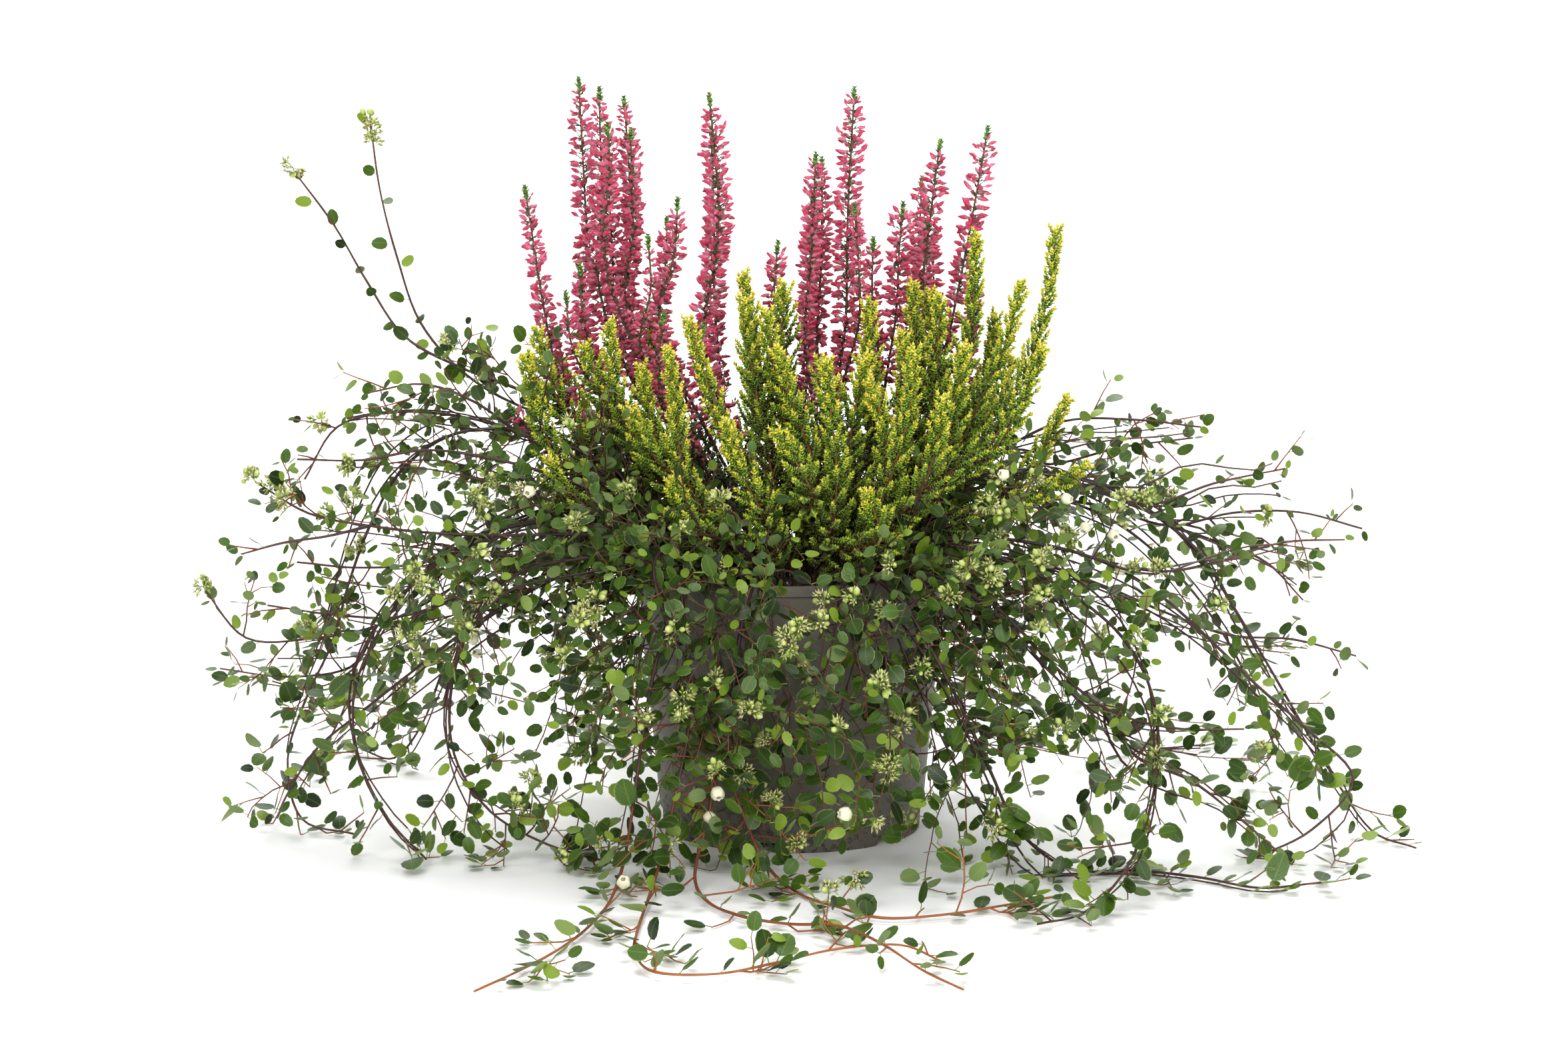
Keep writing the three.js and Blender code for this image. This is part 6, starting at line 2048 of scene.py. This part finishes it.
def add_flower_cluster(place, way, look, chance, flowers, stalks):
    """A bunch of small flowers on short stalks round a stem."""
    count = int(chance.integers(7, 13))
    lean = unit(way * 0.3 + np.array([0, -0.2, 0.5]))
    centre = place + lean * (2.2 * MM)
    facing = unit(chance.normal(0, 1, (count, 3)) + lean * 0.7)
    base = centre + facing * chance.uniform(0.8, 3.0, (count, 1)) * MM
    base[:, 2] = np.maximum(base[:, 2], 1.5 * MM)
    long = look.flower_length * chance.uniform(0.7, 1.15, count)
    closed = chance.random(count) < 0.35
    kind = np.where(closed, 6 + chance.integers(0, 2, count), chance.integers(0, 6, count))
    size = np.where(closed, 0.75, 1.0) * long
    flowers.add(base, facing, chance.normal(0, 1, (count, 3)), size[:, None], kind)
    stalks.append((np.array([place, centre]), np.array([0.26, 0.2]) * MM, on_map([0.8, 0.4])))
    for end in base:
        stalks.append((np.array([centre - lean * MM, end]), np.full(2, 0.13 * MM), on_map([0.2, 0.05])))


# Plants as pieces

BUD_NODES = [f"bud_spray_{k:02d}" for k in range(1, 16)]
FOLIAGE_NODES = [f"foliage_spray_{k:02d}" for k in range(1, 17)]
VINE_NODES = [f"vine_{k:02d}" for k in range(1, 28)]
SIDES = {"left": slice(0, 5), "middle": slice(5, 10), "right": slice(10, 16)}


def gathered(copies_of_several):
    """The copies of several groups as one."""
    whole = Copies()
    for copies in copies_of_several:
        whole.rows.extend(copies.rows)
    return whole.within_box()


def make_bud_heather():
    look = bpy.context.scene.bud_heather
    sprays = bud_heather_growth()
    kinds = bud_kinds()
    finish = bud_finish(BUD_SHAPES, BUD_TONES)
    for side, chosen in SIDES.items():
        part = sprays[chosen]
        buds, nodes = gathered(spray.buds for spray in part), [spray.node for spray in part]
        grow_copies(f"heather_buds_{side}", buds, kinds, finish, look, nodes)
    kinds.clear()
    bark = stem_finish("Bud heather bark", ("#3A2A26", "#4A2F2B", "#5A3A30", "#6A5A38"))
    stems = [line for spray in sprays for line in spray.stems]
    stalks = [line for spray in sprays for line in spray.stalks]
    grow_stems("heather_stems", stems, bark, 5, BUD_NODES)
    grow_stems("heather_bud_stalks", stalks, bark, 3, BUD_NODES)
    kinds = needle_kinds(LEAF_TONES)
    tones = ("#26361A", "#334620", "#425C27", "#517330", "#639038", "#7FA548")
    finish = scale_leaf_finish("Bud heather leaves", tones, "#9CB562", 0.4)
    leaves = gathered(spray.leaves for spray in sprays)
    grow_copies("heather_leaves", leaves, kinds, finish, look, BUD_NODES)
    kinds.clear()


def make_foliage_heather():
    look = bpy.context.scene.foliage_heather
    sprays = foliage_heather_growth()
    kinds = needle_kinds(FOLIAGE_TONES)
    # The yellow tones are the heather's own colour; the darkest greens also serve as painted shade for leaves
    # deep in the spikes.
    tones = ("#132B09", "#2A5210", "#4F8019", "#7BA222", "#A6B92B", "#CCCD35", "#E5DB46", "#F3E65C")
    finish = scale_leaf_finish("Foliage heather leaves", tones, "#EADD68", 0.55)
    for side, chosen in SIDES.items():
        part = sprays[chosen]
        leaves, nodes = gathered(spray[3] for spray in part), [spray[0] for spray in part]
        grow_copies(f"foliage_{side}", leaves, kinds, finish, look, nodes)
    kinds.clear()
    bark = stem_finish("Foliage heather stems", ("#3A261C", "#5E3820", "#7E5424", "#94812C"))
    green = stem_finish("Foliage heather shoots", ("#6A4A22", "#6E7428", "#88A036", "#B5BE48"))
    for name, which, finish, sides in (("foliage_stems", 1, bark, 5), ("foliage_shoots", 2, green, 3)):
        lines = [line for spray in sprays for line in spray[which]]
        grow_stems(name, lines, finish, sides, FOLIAGE_NODES)


def make_vine_stems():
    bark = stem_finish("Wire vine bark", ("#231A1C", "#33211F", "#4C302A", "#7E452D", "#A4602F"), 0.5)
    stems = [line for vine in wire_vine_growth() for line in vine.lines]
    twigs = [line for vine in wire_vine_growth() for line in vine.fine_lines]
    grow_stems("vine_stems", stems, bark, 5, VINE_NODES)
    grow_stems("vine_twigs", twigs, bark, 3, VINE_NODES)


def make_vine_leaves():
    look = bpy.context.scene.wire_vine
    kinds = vine_leaf_kinds()
    finish = vine_leaf_finish(VINE_SHAPES, VINE_TONES)
    quarters = {}
    for vine, routes in zip(wire_vine_growth(), plant_routes()[2]):
        quarters.setdefault(side_of(routes), []).append(vine)
    for side, vines in quarters.items():
        leaves, nodes = gathered(vine.leaves for vine in vines), [vine.node for vine in vines]
        grow_copies(f"vine_leaves_{side}", leaves, kinds, finish, look, nodes, 55)
    kinds.clear()


# Stage

FLOOR_REACH = 9.0
FLOOR_END = 3.8
COVE = 1.2
WALL_HEIGHT = 5.5


def make_stage():
    look = bpy.context.scene.studio_stage
    scene = bpy.context.scene
    bend = np.linspace(0, pi / 2, 14)[1:]
    profile = [(-FLOOR_REACH, 0.0), (FLOOR_END, 0.0)]
    profile += [(FLOOR_END + COVE * sin(a), COVE * (1 - cos(a))) for a in bend]
    profile.append((FLOOR_END + COVE, WALL_HEIGHT))
    vertices = [(x, y, z) for y, z in profile for x in (-FLOOR_REACH, FLOOR_REACH)]
    faces = [(2 * k, 2 * k + 1, 2 * k + 3, 2 * k + 2) for k in range(len(profile) - 1)]
    backdrop = add_mesh("studio_backdrop", vertices, faces)
    backdrop.data.materials.append(backdrop_finish())
    for name, place, aim, size, energy in (
        ("Key light", (-0.4, -2.4, 1.8), (0, 0, 0.15), 1.6, look.key_power),
        ("Fill light", (1.1, -2.2, 0.6), (0, 0, 0.15), 1.8, look.fill_power),
        ("Top light", (0.2, 0.6, 2.6), (0, 0, 0.15), 1.8, look.top_power),
        ("Backdrop light", (0, 2.7, 3.4), (0, 4.6, 0.6), 3.4, look.backdrop_power),
    ):
        light = bpy.data.lights.new(name, "AREA")
        light.shape = "DISK"
        light.size = size
        light.energy = energy
        lamp = bpy.data.objects.new(name, light)
        lamp.location = place
        lamp.rotation_euler = (Vector(aim) - lamp.location).to_track_quat("-Z", "Y").to_euler()
        scene.collection.objects.link(lamp)
    world = bpy.data.worlds.new("Studio")
    world.use_nodes = True
    world.node_tree.nodes["Background"].inputs["Color"].default_value = (1, 1, 1, 1)
    world.node_tree.nodes["Background"].inputs["Strength"].default_value = look.sky_strength
    scene.world = world
    scene.view_settings.view_transform = "Standard"
    scene.view_settings.look = "None"
    data = bpy.data.cameras.new("Camera")
    data.lens = CAMERA_LENS
    data.sensor_width = SENSOR_WIDTH
    camera = bpy.data.objects.new("Camera", data)
    camera.location = CAMERA_PLACE
    camera.rotation_euler = (pi / 2 - CAMERA_PITCH, 0, 0)
    scene.collection.objects.link(camera)
    scene.camera = camera


# Sizes and colours that can be changed in the sidebar


def length(name, description, millimetres):
    return bpy.props.FloatProperty(
        name=name, description=description, default=millimetres * MM, min=0.0, precision=4, unit="LENGTH",
        subtype="DISTANCE",
    )


def number(name, description, default):
    return bpy.props.FloatProperty(name=name, description=description, default=default, min=0.0)


def share(name, description, default):
    return bpy.props.FloatProperty(
        name=name, description=description, default=default, min=0.0, max=1.0, subtype="FACTOR"
    )


def count(name, description, default):
    return bpy.props.IntProperty(name=name, description=description, default=default, min=0)


def colour(name, description, code):
    return bpy.props.FloatVectorProperty(
        name=name, description=description, default=rgb(code)[:3], size=3, min=0.0, max=1.0, subtype="COLOR"
    )


class NurseryPotSettings(bpy.types.PropertyGroup):
    segments: count("Segments", "Sides of the turned pot", 96)
    colour: colour("Colour", "Colour of the clean plastic", "#5B574D")


class PeatSoilSettings(bpy.types.PropertyGroup):
    crumb_density: number("Crumbs", "Most crumbs on each square millimetre", 0.08)
    crumb_spacing: length("Crumb spacing", "Least distance between crumbs", 2.2)
    smallest_crumb: length("Smallest crumb", "Width of the smallest crumb", 0.9)
    largest_crumb: length("Largest crumb", "Width of the largest crumb", 3.0)
    seed: count("Seed", "Changes where the crumbs lie", 4)


class BudHeatherSettings(bpy.types.PropertyGroup):
    whorl_spacing: length("Whorl spacing", "Distance between rings of buds", 2.8)
    bud_length: length("Bud length", "Length of a full bud", 5.2)
    bud_width: length("Bud width", "Width of a full bud", 2.4)
    size_spread: share("Size spread", "How much the sizes differ", 0.1)
    bud_colour: colour("Bud colour", "Colour of most buds", "#B81F49")
    bud_foot_colour: colour("Bud foot colour", "Pale colour at the foot of a bud", "#E9B4C2")
    seed: count("Seed", "Changes how the spikes grow", 11)


class FoliageHeatherSettings(bpy.types.PropertyGroup):
    lowest_shoot: length("Lowest shoot", "Height above the floor of the lowest side shoots", 112)
    shoot_spacing: length("Shoot spacing", "Distance along a stem between side shoots", 1.55)
    shoot_length: length("Shoot length", "Length of the longest side shoots", 13.6)
    leaf_spacing: length("Leaf spacing", "Distance between pairs of scale leaves", 1.12)
    leaf_length: length("Leaf length", "Length of a scale leaf", 2.75)
    leaf_width: length("Leaf width", "Width of a scale leaf", 2.0)
    size_spread: share("Size spread", "How much the sizes differ", 0.12)
    seed: count("Seed", "Changes how the shoots grow", 23)


class WireVineSettings(bpy.types.PropertyGroup):
    side_stem_spacing: length("Side stem spacing", "Distance between side stems near the pot", 7.4)
    side_stem_length: length("Side stem length", "Length of a usual side stem", 44)
    hanging_stems: count("Hanging stems", "Stems round the rim that hang down over the pot", 40)
    hanging_length: length("Hanging stem length", "Length of a usual hanging stem", 78)
    leaf_spacing: length("Leaf spacing", "Distance between leaves", 6.4)
    leaf_length: length("Leaf length", "Length of a leaf with its stalk near the pot", 10.6)
    leaf_colour: colour("Leaf colour", "Colour of a full-grown leaf", "#2D4512")
    flower_length: length("Flower length", "Length of a flower", 4.6)
    fruit_length: length("Fruit length", "Length of a fruit", 5.2)
    flowering_share: share("Flowering", "Share of stem tips with flowers", 0.045)
    size_spread: share("Size spread", "How much the sizes differ", 0.12)
    seed: count("Seed", "Changes how the vines branch", 31)


class StudioStageSettings(bpy.types.PropertyGroup):
    key_power: number("Key light", "Power of the main light, in watts", 62)
    fill_power: number("Fill light", "Power of the light on the right, in watts", 28)
    top_power: number("Top light", "Power of the light above, in watts", 40)
    backdrop_power: number("Backdrop light", "Power of the light on the backdrop, in watts", 260)
    sky_strength: number("Surrounding light", "Strength of the light all round", 0.17)


# Operators


class POTTED_OT_pot(bpy.types.Operator):
    """Turn the nursery pot and cut its foot notches and drain holes"""

    bl_idname = "potted.pot"
    bl_label = "Nursery pot"

    def execute(self, context):
        make_pot()
        return {"FINISHED"}


class POTTED_OT_soil(bpy.types.Operator):
    """Fill the pot with peat and strew crumbs over it"""

    bl_idname = "potted.soil"
    bl_label = "Peat soil"

    def execute(self, context):
        make_soil()
        return {"FINISHED"}


class POTTED_OT_bud_heather(bpy.types.Operator):
    """Grow the bud heather: its buds, leaves and stems"""

    bl_idname = "potted.bud_heather"
    bl_label = "Bud heather"

    def execute(self, context):
        make_bud_heather()
        return {"FINISHED"}


class POTTED_OT_foliage_heather(bpy.types.Operator):
    """Grow the foliage heather: its scale leaves and stems"""

    bl_idname = "potted.foliage_heather"
    bl_label = "Foliage heather"

    def execute(self, context):
        make_foliage_heather()
        return {"FINISHED"}


class POTTED_OT_vine_stems(bpy.types.Operator):
    """Grow the stems of the wire vines"""

    bl_idname = "potted.vine_stems"
    bl_label = "Vine stems"

    def execute(self, context):
        make_vine_stems()
        return {"FINISHED"}


class POTTED_OT_vine_leaves(bpy.types.Operator):
    """Hang the leaves on the wire vines"""

    bl_idname = "potted.vine_leaves"
    bl_label = "Vine leaves"

    def execute(self, context):
        make_vine_leaves()
        return {"FINISHED"}


class POTTED_OT_vine_flowers(bpy.types.Operator):
    """Add the flowers and fruits of the wire vines"""

    bl_idname = "potted.vine_flowers"
    bl_label = "Vine flowers and fruits"

    def execute(self, context):
        make_vine_flowers()
        return {"FINISHED"}


class POTTED_OT_stage(bpy.types.Operator):
    """Set up the backdrop, the lights and the camera"""

    bl_idname = "potted.stage"
    bl_label = "Studio stage"

    def execute(self, context):
        make_stage()
        return {"FINISHED"}


class POTTED_PT_panel(bpy.types.Panel):
    """Lists the steps and the sizes of the potted heather"""

    bl_idname = "POTTED_PT_panel"
    bl_label = "Potted heather"
    bl_space_type = "VIEW_3D"
    bl_region_type = "UI"
    bl_category = "Potted heather"

    def draw(self, context):
        for step in STEPS:
            self.layout.operator(step.bl_idname)
        for name, settings in SETTINGS.items():
            box = self.layout.box()
            box.label(text=name.replace("_", " ").capitalize())
            for field in settings.__annotations__:
                box.prop(getattr(context.scene, name), field)


SETTINGS = {
    "nursery_pot": NurseryPotSettings,
    "peat_soil": PeatSoilSettings,
    "bud_heather": BudHeatherSettings,
    "foliage_heather": FoliageHeatherSettings,
    "wire_vine": WireVineSettings,
    "studio_stage": StudioStageSettings,
}
STEPS = (
    POTTED_OT_pot,
    POTTED_OT_soil,
    POTTED_OT_bud_heather,
    POTTED_OT_foliage_heather,
    POTTED_OT_vine_stems,
    POTTED_OT_vine_leaves,
    POTTED_OT_vine_flowers,
    POTTED_OT_stage,
)


def register():
    for name, settings in SETTINGS.items():
        bpy.utils.register_class(settings)
        setattr(bpy.types.Scene, name, bpy.props.PointerProperty(type=settings))
    for step in (*STEPS, POTTED_PT_panel):
        bpy.utils.register_class(step)


def unregister():
    for step in (POTTED_PT_panel, *reversed(STEPS)):
        bpy.utils.unregister_class(step)
    for name, settings in reversed(SETTINGS.items()):
        delattr(bpy.types.Scene, name)
        bpy.utils.unregister_class(settings)


def main():
    register()
    for step in STEPS:
        group, name = step.bl_idname.split(".")
        getattr(getattr(bpy.ops, group), name)()
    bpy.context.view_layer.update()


if __name__ == "__main__":
    main()
